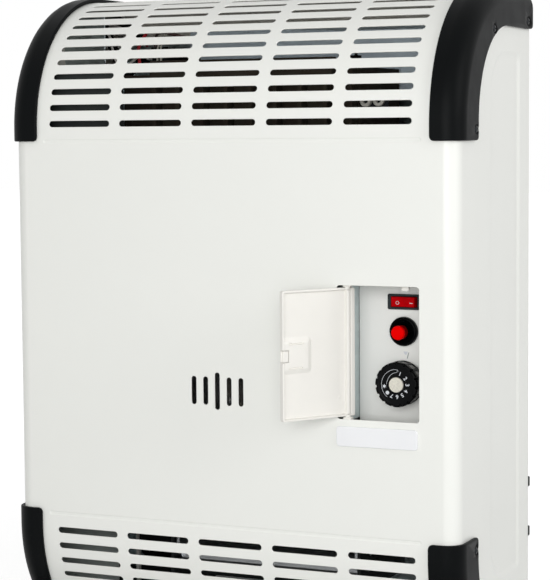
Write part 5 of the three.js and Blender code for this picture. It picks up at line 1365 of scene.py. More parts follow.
@dataclass
class CornerTrim:
    """A moulded corner cover at the top or the bottom, with dimples for its screws."""

    upper: bool
    name: str
    mirrored: bool = False
    wrap: Wrap = Wrap(offset=4.2)
    wall: float = 3.9
    lip: float = 1.3
    front_width: float = 27.5
    side_width: float = 48.0
    inner_bend: float = 90.0
    top_height: float = 35.0
    overrun: float = 9.0
    upper_edge: float = 161.5
    lower_edge: float = -204.5
    corner: float = 5.0
    screws: Profile = ()
    dimple_depth: float = 1.5
    dimple_rings: tuple[float, ...] = (3.4, 4.1, 4.8, 5.5, 6.2)
    edge_steps: tuple[int, int] = (24, 30)

    def edge(self) -> Loop2:
        """The inner edge on the side, from the front's end to the rear's.

        Returns:
            Depths and heights.
        """
        profile = self.wrap.profile
        back = profile.front + self.side_width
        if self.upper:
            centre = (back + self.inner_bend, profile.top - self.top_height - self.inner_bend)
            bend = arc(centre, self.inner_bend, 180, 90, self.edge_steps[0])
            return [(back, self.upper_edge), *bend, (profile.rear, profile.top - self.top_height)]
        centre = (back + self.inner_bend, profile.bottom - self.overrun + self.inner_bend)
        bend = arc(centre, self.inner_bend, 180, 270, self.edge_steps[1])
        kept = [p for p in bend if p[1] > profile.bottom]
        return [(back, self.lower_edge), *kept, (self.meeting(centre), profile.bottom)]

    def meeting(self, centre: Point2) -> float:
        """Depth at which the inner bend meets the casing's bottom."""
        drop = centre[1] - self.wrap.profile.bottom
        return centre[0] - math.sqrt(self.inner_bend**2 - drop**2)

    def unrolled(self, y: float, z: float) -> Point2:
        """A point of the side in the wrap's u and s."""
        s, depth = self.wrap.profile.of(y, z)
        return self.wrap.side + depth - self.wrap.corner, s

    def outline(self) -> Loop2:
        """The trim laid flat, its free corners rounded.

        Returns:
            The outline in u and s.
        """
        wrap, profile = self.wrap, self.wrap.profile
        start = wrap.half_width - self.front_width
        across = [start, *wrap.turns()]
        edge = [self.unrolled(*p) for p in self.edge()]
        if self.upper:
            levels = [self.upper_edge, *[s for s in profile.levels() if s > self.upper_edge + 3]]
            front = [(start, s) for s in reversed(levels)]
            first = [(u, self.upper_edge) for u in across[1:]]
            last = [(u, profile.end) for u in reversed(across[1:])]
            return softened([*front, *first, *edge, *last], self.corner)
        levels = [s for s in profile.levels() if wrap.cut(start) + 1 < s < self.lower_edge - 2]
        front = [(start, s) for s in (wrap.cut(start), *levels, self.lower_edge)]
        first = [(u, self.lower_edge) for u in across[1:]]
        far = edge[-1][0]
        count = 10
        low = [wrap.side + (far - wrap.side) * (1 - k / count) for k in range(1, count)]
        last = [(u, wrap.cut(u)) for u in [*low, *reversed(across[1:])]]
        return softened([*front, *first, *edge[:-1], (far, wrap.cut(far)), *last], self.corner)

    def fall(self, u: float, s: float) -> float:
        """How deep the screws' dimples are at a place.

        Args:
            u, s: The place, across and up the profile.

        Returns:
            The depth below the skin.
        """
        deepest = 0.0
        floor, brim = self.dimple_rings[0], self.dimple_rings[-1]
        shrink = 1 - (u - self.wrap.side) / self.wrap.profile.bend if abs(s) > 200 else 1.0
        for screw in self.screws:
            across, along = self.unrolled(*screw)
            away = math.hypot(u - across, (s - along) * shrink)
            deepest = max(deepest, self.dimple_depth * eased((brim - away) / (brim - floor)))
        return deepest

    def at(self, u: float, s: float) -> Spot:
        """The trim's skin with its dimples.

        Args:
            u, s: The place, across and up the profile.

        Returns:
            The point, and the outward normal.
        """
        point, normal = self.wrap.at(u, s)
        fall = self.fall(u, s)
        if fall <= 0:
            return point, normal
        step = 0.15
        east, north = self.wrap.at(u + step, s)[0], self.wrap.at(u, s + step)[0]
        here = point - normal * fall
        east = east - normal * self.fall(u + step, s)
        north = north - normal * self.fall(u, s + step)
        tilted = (east - here).cross(north - here).normalized()
        return here, tilted if tilted.dot(normal) > 0 else -tilted

    def build(self) -> None:
        """Makes the trim and its screws."""
        wrap, levels = self.wrap, self.wrap.profile.levels()
        inner = [(u, s) for u in wrap.turns() for s in levels]
        inner += [(wrap.side + 8 * k, s) for k in range(1, 6) for s in levels]
        centres = [self.unrolled(*screw) for screw in self.screws]
        lines = [circle(centre, radius, 24) for centre in centres for radius in self.dimple_rings]
        face = skin(self.at, drawn_in(self.outline(), self.lip), (), inner, lines)
        body = thickened(face, self.wall, self.lip, 4)
        mirror = MIRROR_X if self.mirrored else Matrix()
        node = f"trim_{self.name}"
        piece(f"{node}_cover", body.moved(mirror), BLACK_ABS, "black_plastic", [node])
        for index, (y, z) in enumerate(self.screws):
            place = Matrix.Translation((wrap.half_width + wrap.offset - self.dimple_depth, y, z))
            node = f"trim_screw_{self.name}_{index + 1}"
            piece(f"{node}_head", pan_head().moved(mirror @ place), BLACK_OXIDE, "black_screw", [node])


def cut_from(form: Form, cutters: Sequence[Form]) -> Form:
    """Cuts forms out of another.

    Args:
        form: What is cut.
        cutters: What is taken away.

    Returns:
        The rest.
    """
    objects = []
    for part in (form, *cutters):
        mesh = bpy.data.meshes.new("cutting")
        mesh.from_pydata(part.points, [], part.faces)
        objects.append(shown("cutting", mesh))
    for cutter in objects[1:]:
        cut = objects[0].modifiers.new("cut", "BOOLEAN")
        cut.operation = "DIFFERENCE"
        cut.object = cutter
        cut.solver = "EXACT"
    graph = bpy.context.evaluated_depsgraph_get()
    shape = bmesh.new()
    shape.from_mesh(objects[0].evaluated_get(graph).to_mesh())
    for made in objects:
        bpy.data.objects.remove(made)
    return form_of(shape)


# --- small parts on the casing
@dataclass
class CasingFittings:
    """The blank badge plate, the hinge lugs, the stop clip and the wall buffers."""

    badge: Box3 = ((113.0, -225.3, -119.5), (192.3, -223.3, -101.0))
    lug_x: Point2 = (118.2, 125.8)
    lug_inner: float = 1.6
    lug_outer: float = 9.0
    opening_z: Point2 = (-94.6, 28.9)
    clip_z: Point2 = (29.4, 30.4)

    def badge_plate(self) -> None:
        """Makes the plate, which stays bare."""
        (x0, front, z0), (x1, back, z1) = self.badge
        form = plate(Plane(origin=(0, front, 0)), rounded(x0, z0, x1, z1, 3.0), (), back - front, 0.6)
        piece("badge_blank", form, WHITE_ACRYLIC, "white_plastic", ["badge_plate"])

    def hinge(self, side: int, node: str) -> None:
        """Makes a lug beside the opening, on a strap behind the sheet.

        Args:
            side: 1 for the upper one, -1 for the lower.
            node: Its CAD node.
        """
        low, high = node_box(node)
        edge = self.opening_z[1] if side > 0 else self.opening_z[0]
        ends = sorted((edge - self.lug_inner * side, edge + self.lug_outer * side))
        lug = block((self.lug_x[0], low[1], ends[0]), (self.lug_x[1], high[1], ends[1]), 0.9)
        span = (edge + side, high[2]) if side > 0 else (low[2], edge + side)
        strap = block((low[0], low[1], span[0]), (high[0], low[1] + 2, span[1]), 0.5)
        piece(f"{node}_lug", lug.plus(strap), WHITE_POLYPROPYLENE, "white_plastic", [node])

    def build(self) -> None:
        """Makes the fittings."""
        self.badge_plate()
        self.hinge(1, "door_hinge_upper")
        self.hinge(-1, "door_hinge_lower")
        low, high = node_box("door_stop_clip")
        clip = block((low[0], low[1], self.clip_z[0]), high, 0.6)
        pad = block((low[0], high[1] - 4, low[2] - 0.7), (high[0], high[1], self.clip_z[1]), 0.7)
        form = clip.plus(pad)
        piece("door_stop_clip_moulding", form, WHITE_POLYPROPYLENE, "white_plastic", ["door_stop_clip"])
        for node in (f"wall_buffer_{side}_{index}" for side in ("right", "left") for index in (1, 2)):
            piece(f"{node}_pad", block(*node_box(node), 1.0), RUBBER, "rubber", [node])


# --- door
@dataclass
class Door:
    """The flap over the controls, its inner side shown: rim, rib, latch housing and knuckles."""

    hinge: Point3 = (122.0, -218.5, -32.85)
    open_angle: float = 124.0
    left: float = -8.0
    right: float = 70.6
    half: float = 59.45
    front: float = -4.5
    inner: float = -2.5
    rim: float = 1.6
    rim_back: float = 0.5
    edge: float = 0.6
    notch: float = 5.9
    latch_half: float = 15.5
    pad: Point2 = (37.3, 68.2)
    pins: Profile = ((2.6, 3.2), (2.0, 9.5))

    def opened(self, form: Form) -> Form:
        """A form of the shut door, swung to where the door stands."""
        swing = Matrix.Rotation(math.radians(-self.open_angle), 4, "Z")
        return form.moved(Matrix.Translation(self.hinge) @ swing)

    def leaf(self) -> Form:
        """The moulding: a sunk field, a band and rib at the hinge, a notch for the latch, and its pins.

        Returns:
            The leaf, shut, about the hinge.
        """
        plane = Plane(origin=(0, self.rim_back, 0), out=(0, 1, 0))
        deep = self.inner - self.rim_back
        half, rim, notch, edge = self.half, self.rim, self.notch, self.right - self.edge
        sunk_field = Pressing(Rim(0.5, rim - half, self.right - rim, half - rim, 1.2), deep, 0.9, 4)
        band = Pressing(Rim(-2.8, 1.6 - half, 0.6, half - 1.6, 1.4), 0.5, 1.2, 4)
        rib = Pressing(Rim(-4.2, 2.0 - half, -3.0, half - 2.0, 0.5), -0.45, 0.5, 3)
        latch_notch = Pressing(Rim(self.right - rim - 0.9, -notch, self.right + 2, notch, 0.4), deep, 0.4, 3)
        ejector_mark = Pressing(Rim(5.7, -43.8, 9.3, -40.2, 1.8), deep + 0.25, 0.5, 5)
        relief = Relief(plane.at, (sunk_field, band, rib, latch_notch, ejector_mark))
        outline = drawn_in(rounded(self.left, -half, self.right, half, 2.0), self.edge)
        steps = [(edge, z) for z in (-notch, 0.2 - notch, 0.4 - notch, notch - 0.4, notch - 0.2, notch)]
        face = skin(relief.at, [*outline[:7], *steps, *outline[7:]], (), (), relief.loops())
        form = thickened(face, 1.0, self.edge, 3, lambda p: Vector((p.x, self.front, p.z)))
        for side in (1, -1):
            end = side * (half - 1.5)
            form = form.plus(*(self.post(radius, end, end + side * reach) for radius, reach in self.pins))
        return form

    def post(self, radius: float, start: float, end: float) -> Form:
        """A round post on the hinge's axis, its ends softened.

        Args:
            radius: Its radius.
            start, end: Heights of its ends.

        Returns:
            The post.
        """
        low, high = min(start, end), max(start, end)
        soft = 0.35
        profile = [(0, low), (radius - soft, low), (radius, low + soft), (radius, high - soft)]
        return turned([*profile, (radius - soft, high), (0, high)], 32, axis="z")

    def housing(self) -> Form:
        """The lid that the latch slides under: a soft pad with a finger window and grooves.

        Returns:
            The lid, on the shut door.
        """
        plane = Plane(origin=(0, self.inner - 0.2, 0), out=(0, 1, 0))
        x0, x1 = self.pad
        half = self.latch_half + 2.0
        pressings = (
            Pressing(Rim(x0, -half, x1 + 8, half, 5.0), 2.3, 6.0),
            Pressing(Rim(x0 + 10.0, 10.2, x1 - 6.0, 11.8, 0.6), 1.1, 0.4, 4),
            Pressing(Rim(x1 - 8.0, 9.6, x1 - 4.6, 12.4, 0.6), 0.9, 0.4, 4),
            Pressing(Rim(x0 + 11.0, -12.0, x1 - 5.0, -10.4, 0.6), 1.1, 0.4, 4),
        )
        relief = Relief(plane.at, pressings)
        window = drawn_in(rounded(x1 - 4.9, -5.6, x1 - 0.3, 5.6, 0.6), -0.3)
        edge = rounded(x1 - 6.0, -6.7, x1, 6.7, 1.2)
        outline = rounded(x0, -half, x1, half, 4.0)
        return thickened(skin(relief.at, outline, [window], edge, relief.loops()), 0.8, 0.3)

    def latch(self) -> Form:
        """The sliding tongue, with a low ledge for a fingernail.

        Returns:
            The latch, on the shut door.
        """
        start = self.pad[1] - 4.1
        tongue = block((start, -2.45, -5.0), (self.right - 0.6, 0.0, 5.0), 0.3)
        bar = block((self.pad[0] + 9.3, -2.45, -4.8), (start + 1.0, -1.4, 4.8), 0.3)
        nose = block((self.right - 2.0, -2.45, -4.6), (self.right + 1.4, -0.9, 4.6), 0.5)
        return tongue.plus(bar, nose)

    def build(self) -> None:
        """Makes the door and its latch."""
        leaf = self.opened(self.leaf().plus(self.housing()))
        piece("door_moulding", leaf, WHITE_POLYPROPYLENE, "white_plastic", ["door"], Body.DOOR)
        latch = self.opened(self.latch())
        piece("door_latch_tongue", latch, WHITE_POLYPROPYLENE, "white_plastic", ["door_latch"], Body.LATCH)


# --- controls
@dataclass
class ControlPanel:
    """The painted bracket behind the opening, with its holes, its pointer and the sheet beside it."""

    face_y: float = -183.0
    sheet: float = 1.2
    left: float = 121.0
    right: float = 206.0
    top: float = 40.0
    bottom: float = -106.0
    controls_x: float = 164.5
    sheet_back: float = -9.8
    wall_front: float = -209.0
    switch_hole: Point3 = (14.3, 5.5, 18.1)
    igniter_hole: Point2 = (-15.6, 10.9)
    knob_hole: Point2 = (-63.0, 7.0)
    pointer: Point2 = (165.5, -36.5)
    print_depth: float = 0.08
    pointer_line: Profile = ((2.6, 1.2), (3.6, 1.2), (2.1, -4.4), (1.1, -4.4))
    pointer_head: Profile = ((-2.2, 2.0), (2.4, 2.0), (0.6, -1.2), (-0.9, -0.6))

    def build(self) -> None:
        """Makes the bracket, the recess wall and what is printed on the bracket."""
        x, y, left, right = self.controls_x, self.face_y, self.left, self.right
        half, low, high = self.switch_hole
        holes = [rounded(x - half, low, x + half, high, 0.5)]
        holes += [circle((x, z), radius, 32) for z, radius in (self.igniter_hole, self.knob_hole)]
        outline = rounded(left - 1.4, self.bottom, right, self.top, 0.8)
        front = plate(Plane(origin=(0, y, 0)), outline, holes, self.sheet, 0.3)
        lip = ((left, y + 0.2, self.bottom), (left + self.sheet, y + 25.2, self.top))
        side = ((right - self.sheet, y + 0.2, self.bottom), (right, self.sheet_back, self.top))
        bracket = front.plus(block(*lip, 0.3), block(*side, 0.3))
        piece("control_bracket", bracket, GREY_POWDER_COAT, "grey_enamel", ["control_panel"])
        low, high = self.bottom + 8, self.top - 8
        wall = ((left - 2.8, self.wall_front, low), (left - 1.6, y + 1, high))
        turned_in = ((left - 21, self.wall_front, low), (left - 1.8, self.wall_front + self.sheet, high))
        piece("control_recess_wall", blocks((wall, turned_in), 0.3), GALVANISED_STEEL, "galvanised")
        paper = Plane(origin=(self.pointer[0], y - self.print_depth, self.pointer[1]))
        line = plate(paper, list(self.pointer_line), (), self.print_depth, PRINT_LIP, 1)
        piece("pointer_line", line, GREY_INK, "grey_enamel")
        head = plate(paper, list(self.pointer_head), (), self.print_depth, PRINT_LIP, 1)
        piece("pointer_head", head, WHITE_INK, "white_plastic")


@dataclass
class RockerSwitch:
    """The mains switch: a dark frame, a body behind the panel and a red rocker with its two marks."""

    place: Point3 = (164.9, -183.0, 11.8)
    width: float = 32.6
    height: float = 14.4
    rocker_width: float = 25.0
    rocker_height: float = 9.2
    gap: float = 0.4
    angle: float = 6.0
    crown: float = -4.3
    dish: float = 1.35
    pivot_y: float = 1.1
    walls: tuple[Box3, ...] = (
        ((-14, -0.5, -6), (-12.7, 22, 6)),
        ((12.7, -0.5, -6), (14, 22, 6)),
        ((-14, -0.5, -6), (14, 22, -5.1)),
        ((-14, -0.5, 5.1), (14, 22, 6)),
        ((-14, 8.4, -6), (14, 22, 6)),
    )

    @property
    def reach(self) -> float:
        """Half the rocker's width."""
        return self.rocker_width / 2 - self.gap

    def face(self, x: float) -> float:
        """Depth of the rocker's dished face at x."""
        rise = self.reach * math.tan(math.radians(self.angle))
        return self.crown - rise * (abs(x) / self.reach) ** self.dish

    def rim(self) -> Form:
        """The frame with its rounded rim, and the body behind the panel.

        Returns:
            Both as one form.
        """
        half_w, half_h = self.width / 2, self.height / 2
        hole_w, hole_h = self.rocker_width / 2 + self.gap, self.rocker_height / 2 + self.gap
        hole = rounded(-hole_w, -hole_h, hole_w, hole_h, 0.5)
        outline = rounded(-half_w, -half_h, half_w, half_h, 1.4)
        return plate(Plane(origin=(0, -2.7, 0)), outline, [hole], 2.4, 0.7).plus(blocks(self.walls, 0.25, 2))

    def rocker(self) -> Form:
        """The rocker about its pivot: two dished faces and rounded ends.

        Returns:
            The rocker, level.
        """
        half = self.reach
        loop = [(x, self.face(x)) for x in (-half + 2 * half * k / 24 for k in range(25))]
        loop += [(half, 0.4), (half - 1.2, 1.6), (0, 3.5), (1.2 - half, 1.6), (-half, 0.4)]
        flat = Plane(origin=(0, 0, self.rocker_height / 2), right=(1, 0, 0), up=(0, 1, 0), out=(0, 0, 1))
        return thickened(skin(flat.at, drawn_in(softened(loop, 0.5, 3), 0.35)), self.rocker_height, 0.35, 3)

    def marks(self) -> Form:
        """A ring and a bar, laid on the two dished faces.

        Returns:
            The print, on the level rocker.
        """
        ring = turned([(1.3, -0.02), (1.3, -0.1), (1.7, -0.1), (1.7, -0.02)], 28)
        bar = block((-1.8, -0.1, -0.28), (1.8, -0.02, 0.28), 0.03, 1)
        made = Form()
        for form, x in ((ring, -5.8), (bar, 8.4)):
            share = abs(x) / self.reach
            slope = self.dish * math.tan(math.radians(self.angle)) * share ** (self.dish - 1)
            lean = Matrix.Rotation(math.copysign(math.atan(slope), -x), 4, "Z")
            made = made.plus(form.moved(Matrix.Translation((x, self.face(x) - 0.03, -0.9)) @ lean))
        return made

    def build(self) -> None:
        """Makes the switch."""
        x, y, z = self.place
        here = Matrix.Translation(self.place)
        piece("rocker_switch_frame", self.rim().moved(here), GREY_PBT, "black_plastic", ["rocker_switch"])
        blades = blocks((((n - 0.4, 22, -3.2), (n + 0.4, 30, 3.2)) for n in (-8, 0, 8)), 0.2, 1)
        piece("rocker_switch_blades", blades.moved(here), PLATED_STEEL, "steel")
        tilt = Matrix.Rotation(math.radians(-self.angle), 4, "Z")
        pivot = Matrix.Translation((x, y + self.pivot_y, z)) @ tilt
        rocker = self.rocker().moved(pivot)
        piece("switch_rocker_lens", rocker, RED_POLYCARBONATE, "red_plastic", ["switch_rocker"], Body.ROCKER)
        piece("switch_rocker_marks", self.marks().moved(pivot), WHITE_INK, "white_plastic", (), Body.ROCKER)


@dataclass
class PiezoIgniter:
    """The spark igniter: a black collar and body, and a red button pushed along Y."""

    place: Point3 = (164.5, -183.0, -15.6)
    collar: Profile = (
        *((7.0, 5.0), (7.0, -1.6), (8.4, -2.6), (11.2, -5.2), (11.8, -5.5), (12.5, -5.3), (13.2, -4.6)),
        *((13.6, -3.4), (13.6, -0.4), (10.6, -0.3), (10.6, 41.0), (9.6, 42.0), (2.0, 42.0), (2.0, 19.0)),
        (7.0, 18.0),
    )
    button: Profile = (
        *((0, -8.0), (6.1, -8.2), (6.5, -8.8), (6.58, -15.8), (6.6, -17.2), (6.45, -17.9), (6.0, -18.5)),
        *((5.3, -18.8), (3.0, -18.85), (0, -18.9)),
    )
    plunger: Profile = ((0, 5.0), (6.5, 5.0), (6.5, -8.6), (6.2, -9.0), (0, -9.0))
    # Depth behind which the button's flank is painted in shade.
    flank: float = -16.5

    def build(self) -> None:
        """Makes the igniter."""
        collar = turned(self.collar, 64, self.place)
        piece("piezo_collar", collar, BLACK_NYLON, "black_plastic", ["piezo_igniter"])
        button = turned(self.button, 48, self.place)
        made = piece("piezo_push_button", button, RED_ABS, "red_plastic", ["piezo_button"], Body.BUTTON)
        # The flank's faces behind that depth take the deeper red: painted shade.
        made.data.materials.append(RED_ABS_PAINTED_SHADE.material())
        for polygon in made.data.polygons:
            if abs(polygon.normal.y) < 0.5 and polygon.center.y / MM > self.place[1] + self.flank:
                polygon.material_index = 1
        # The black plunger shows between the collar and the red cap: a real part, whose black is also painted
        # shade on the button's shank.
        plunger = turned(self.plunger, 48, self.place)
        piece("piezo_plunger", plunger, BLACK_NYLON, "black_plastic", (), Body.BUTTON)


@dataclass
class GasKnob:
    """The gas knob: a cup with notched rim and panelled skirt, printed marks and a cream centre cap."""

    place: Point3 = (164.5, -188.0, -63.0)
    radius: float = 20.8
    depth: float = 18.0
    notches: int = 15
    facets: int = 24
    notch_length: float = 4.2
    notch_depth: float = 1.5
    panel: Point2 = (1.6, 12.6)
    panel_depth: float = 0.7
    brow: float = 1.7
    skirt: tuple[float, ...] = (
        *(0, 0.6, 1.2, 1.6, 2.1, 2.6, 7.0, 11.6, 12.1, 12.6, 13.2, 13.8, 14.6, 15.4, 16.3),
    )
    outside: Profile = ((17.4, 0.05), (16.9, 0.35), (16.4, 0.4), (7.6, 0.4), (7.4, 0.8), (7.3, 1.6), (0, 1.6))
    inside: Profile = ((18.0, 18.0), (17.8, 3.0), (8.2, 3.0), (8.0, 18.0), (4.3, 18.0), (4.3, 4.6), (0, 4.6))
    cap: Profile = ((0, 1.5), (7.0, 1.5), (7.0, 0.3), (6.8, -0.05), (6.3, -0.28), (4.0, -0.3), (0, -0.3))
    number_radius: float = 10.9
    number_height: float = 5.2
    numbers: tuple[float, ...] = (20.6, 55.3, 88.0, 118.8, 147.0, 174.4, 202.4)
    print_depth: float = 0.1
    stroke: float = 0.14

    def radius_at(self, angle: float, along: float) -> float:
        """The skirt's radius.

        Args:
            angle: Place round the axis.
            along: Distance from the back.

        Returns:
            The radius there.
        """
        pitch = 2 * math.pi / self.notches
        turn = (angle / pitch) % 1.0
        from_notch = min(turn, 1 - turn) * pitch * self.radius
        from_panel = abs(turn - 0.5) * pitch * self.radius
        radius = self.radius
        start = self.depth - self.notch_length
        if along > start:
            radius -= self.notch_depth * eased((1.35 - from_notch) / 0.7) * clamped((along - start) / 0.8)
        low, high = self.panel
        if low < along < high:
            fade = clamped(min(along - low, high - along) / 0.5)
            radius -= self.panel_depth * eased((3.1 - from_panel) / 0.5) * fade
        return radius

    def ring(
        self, shape: bmesh.types.BMesh, y: float, radius: float | None = None, inset: float = 0.0
    ) -> list[bmesh.types.BMVert]:
        """Adds a ring of vertices about the axis, or one vertex for no radius.

        Args:
            shape: The mesh in the making.
            y: Place along the axis.
            radius: Its radius, or None where it follows the skirt.
            inset: How far inside the skirt it runs.

        Returns:
            The vertices.
        """
        if radius == 0:
            return [shape.verts.new((0, y, 0))]
        made = []
        sides = self.notches * self.facets
        for i in range(sides):
            angle = 2 * math.pi * i / sides
            out = self.radius_at(angle, -y) - inset if radius is None else radius
            made.append(shape.verts.new((out * math.sin(angle), y, out * math.cos(angle))))
        return made

    def body(self) -> Form:
        """The knob's cup with its relief, about its axis, back at zero and front at -depth.

        Returns:
            The cup.
        """
        shape = bmesh.new()
        outer = [self.ring(shape, -along, inset=0.4 if along == 0 else 0.0) for along in self.skirt]
        for k in range(1, 5):
            turn = math.pi / 2 * k / 4
            along = self.depth - self.brow + self.brow * math.sin(turn)
            outer.append(self.ring(shape, -along, inset=self.brow * (1 - math.cos(turn))))
        outer += [self.ring(shape, rise - self.depth, radius) for radius, rise in self.outside]
        inner = [self.ring(shape, rise - self.depth, radius) for radius, rise in self.inside]
        joined(shape, [*zip(outer, outer[1:]), (outer[0], inner[0]), *zip(inner, inner[1:])])
        return form_of(shape)

    def polar(self, radius: float, clockwise: float) -> Point2:
        """A point of the face from its radius and clockwise angle in degrees."""
        turn = math.radians(clockwise)
        return radius * math.sin(turn), radius * math.cos(turn)

    def scale_line(self) -> list[Point2]:
        """The line from the dot round to the highest number and back, which nears the axis as it goes.

        Returns:
            Its points on the face.
        """
        outer = [self.polar(14.3, a) for a in range(-142, 1, 6)]
        tip = [self.polar(14.3 - 2.6 * t, 2 + 7 * math.sin(t * math.pi)) for t in (0.15, 0.3, 0.5, 0.7, 0.85)]
        back = [self.polar(9.3 + 2.2 * max(0.0, (a + 60) / 60), a) for a in range(-2, -92, -6)]
        return [*outer, *tip, *back]

    def marks(self) -> Form:
        """The numbers, the dot, the star and the line round the scale.

        Returns:
            The print, on the knob about its axis.
        """
        made = Form()
        face = -self.depth + 0.4 - self.print_depth / 2
        for figure, clockwise in enumerate(self.numbers, 1):
            x, z = self.polar(self.number_radius, clockwise)
            here = Matrix.Translation((x, face, z)) @ Matrix.Rotation(math.radians(clockwise), 4, "Y")
            made = made.plus(lettering(str(figure), self.number_height, self.print_depth).moved(here))
        front = Plane(origin=(0, face - self.print_depth / 2, 0))
        dot = circle(self.polar(11.3, -131.4), 1.75, 28)
        middle = self.polar(11.6, -97.7)
        tips = [self.polar(2.2 if k % 2 == 0 else 0.95, 30 * k) for k in range(12)]
        star = [(middle[0] + x, middle[1] + z) for x, z in tips]
        for outline in (dot, star):
            made = made.plus(plate(front, outline, (), self.print_depth, PRINT_LIP, 1))
        line = [Vector(point) for point in self.scale_line()]
        for a, b in zip(line, line[1:]):
            way = (b - a).normalized()
            side = Vector((way.y, -way.x)) * self.stroke
            far = b + way * 0.1
            loop = [tuple(p) for p in (a - side, far - side, far + side, a + side)]
            made = made.plus(thickened(skin(front.at, loop), self.print_depth, SQUARE_LIP, 1))
        return made

    def build(self) -> None:
        """Makes the knob, its marks and its cap."""
        here = Matrix.Translation(self.place)
        body = self.body().moved(here)
        made = piece("gas_knob_body", body, BLACK_NYLON, "black_plastic", ["control_knob"], Body.KNOB)
        # The faces of the sunk panels take the grey: painted sheen.
        made.data.materials.append(NYLON_PAINTED_SHEEN.material())
        x, y, z = self.place
        for polygon in made.data.polygons:
            middle = polygon.center / MM
            sunk = self.radius - math.hypot(middle.x - x, middle.z - z)
            if 0.55 < sunk < 0.75 and self.panel[0] < y - middle.y < self.panel[1]:
                polygon.material_index = 1
        piece("gas_knob_marks", self.marks().moved(here), WHITE_INK, "white_plastic", (), Body.KNOB)
        cap = turned([(radius, rise - self.depth) for radius, rise in self.cap], 48, self.place)
        piece("gas_knob_cap", cap, CREAM_UREA, "cream_plastic", ["knob_cap"], Body.KNOB)


# --- inside and behind
@dataclass
class Inside:
    """The CAD solids whose shape is right: each gets its material. The fan housing's dark steel is painted
    shade.
    """

    finishes: tuple[tuple[Finish, str], ...] = (
        (TURNED_BRASS, "valve_spindle gas_inlet_nut pilot_burner thermocouple"),
        (DIE_CAST_ALUMINIUM, "gas_valve burner_feed_pipe pilot_pipe"),
        (PLATED_STEEL, "gas_inlet_pipe combustion_cover window_ring main_burner exhaust_pipe"),
        (GALVANISED_STEEL, "air_duct air_intake_pipe rear_panel wall_plate"),
        (BLACK_NYLON, "fan_motor limit_thermostat fan_thermostat"),
        (RUBBER, "ignition_lead cable_gland"),
        (CAST_IRON, "heat_exchanger"),
        (WINDOW_GLASS, "window_glass"),
        (CERAMIC, "ignition_electrode"),
        # The fan housing is darkened as painted shade.
        (DARK_STEEL_PAINTED_SHADE, "fan_housing"),
        (BLADE_ALUMINIUM, "fan_wheel"),
        (BROWN_SILICONE, "thermostat_lead"),
    )

    def build(self) -> None:
        """Dresses the solids."""
        for finish, names in self.finishes:
            for name in names.split():
                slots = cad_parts[name].data.materials
                slots.clear()
                slots.append(finish.material())
                LOG.info("dressed %s", name)


@dataclass(frozen=True)
class Lead:
    """An insulated wire: its sheath, the record's slot for it, its radius and what it passes."""

    name: str
    sheath: Finish
    slot: str
    radius: float
    route: tuple[Point3, ...]


LEADS = (
    Lead("lead_red", RED_SILICONE, "red_lead", 1.7, (
        *((-152, -80, 244), (-154, -96, 236), (-156, -97, 247), (-156, -96, 258)),
        *((-151, -90, 270), (-165, -60, 274), (-185, -30, 270), (-193, -9.2, 262)),
    )),
    Lead("lead_bundle", BLACK_NYLON, "rubber", 5.0, (
        *((-158, -82, 246), (-174, -100, 226), (-179, -100, 244), (-188, -100, 264)),
        *((-197, -96, 281), (-200, -60, 286), (-200, -9.2, 270)),
    )),
    Lead("lead_white", WHITE_SILICONE, "white_plastic", 1.2, (
        *((-158, -84, 250), (-172, -106, 236), (-181, -107, 254), (-184, -106, 266)),
        *((-194, -104, 278), (-198, -60, 279), (-196, -9.2, 262)),
    )),
    Lead("lead_cream_1", CREAM_UREA, "cream_plastic", 0.9, (
        *((-140, -82, 243), (-134, -98, 238), (-133.5, -98, 256), (-133, -80, 268), (-120, -9.2, 256)),
    )),
    Lead("lead_cream_2", CREAM_UREA, "cream_plastic", 0.9, (
        *((-139, -80, 252), (-130, -98, 238), (-130, -98, 256), (-129, -80, 269), (-114, -9.2, 258)),
    )),
    Lead("lead_blue", BLUE_SILICONE, "white_plastic", 1.5, (
        *((-132, -102, -262), (-145, -104, -252), (-147, -102, -240)),
        *((-149, -90, -226), (-150, -60, -214), (-150, -9.2, -205)),
    )),
)


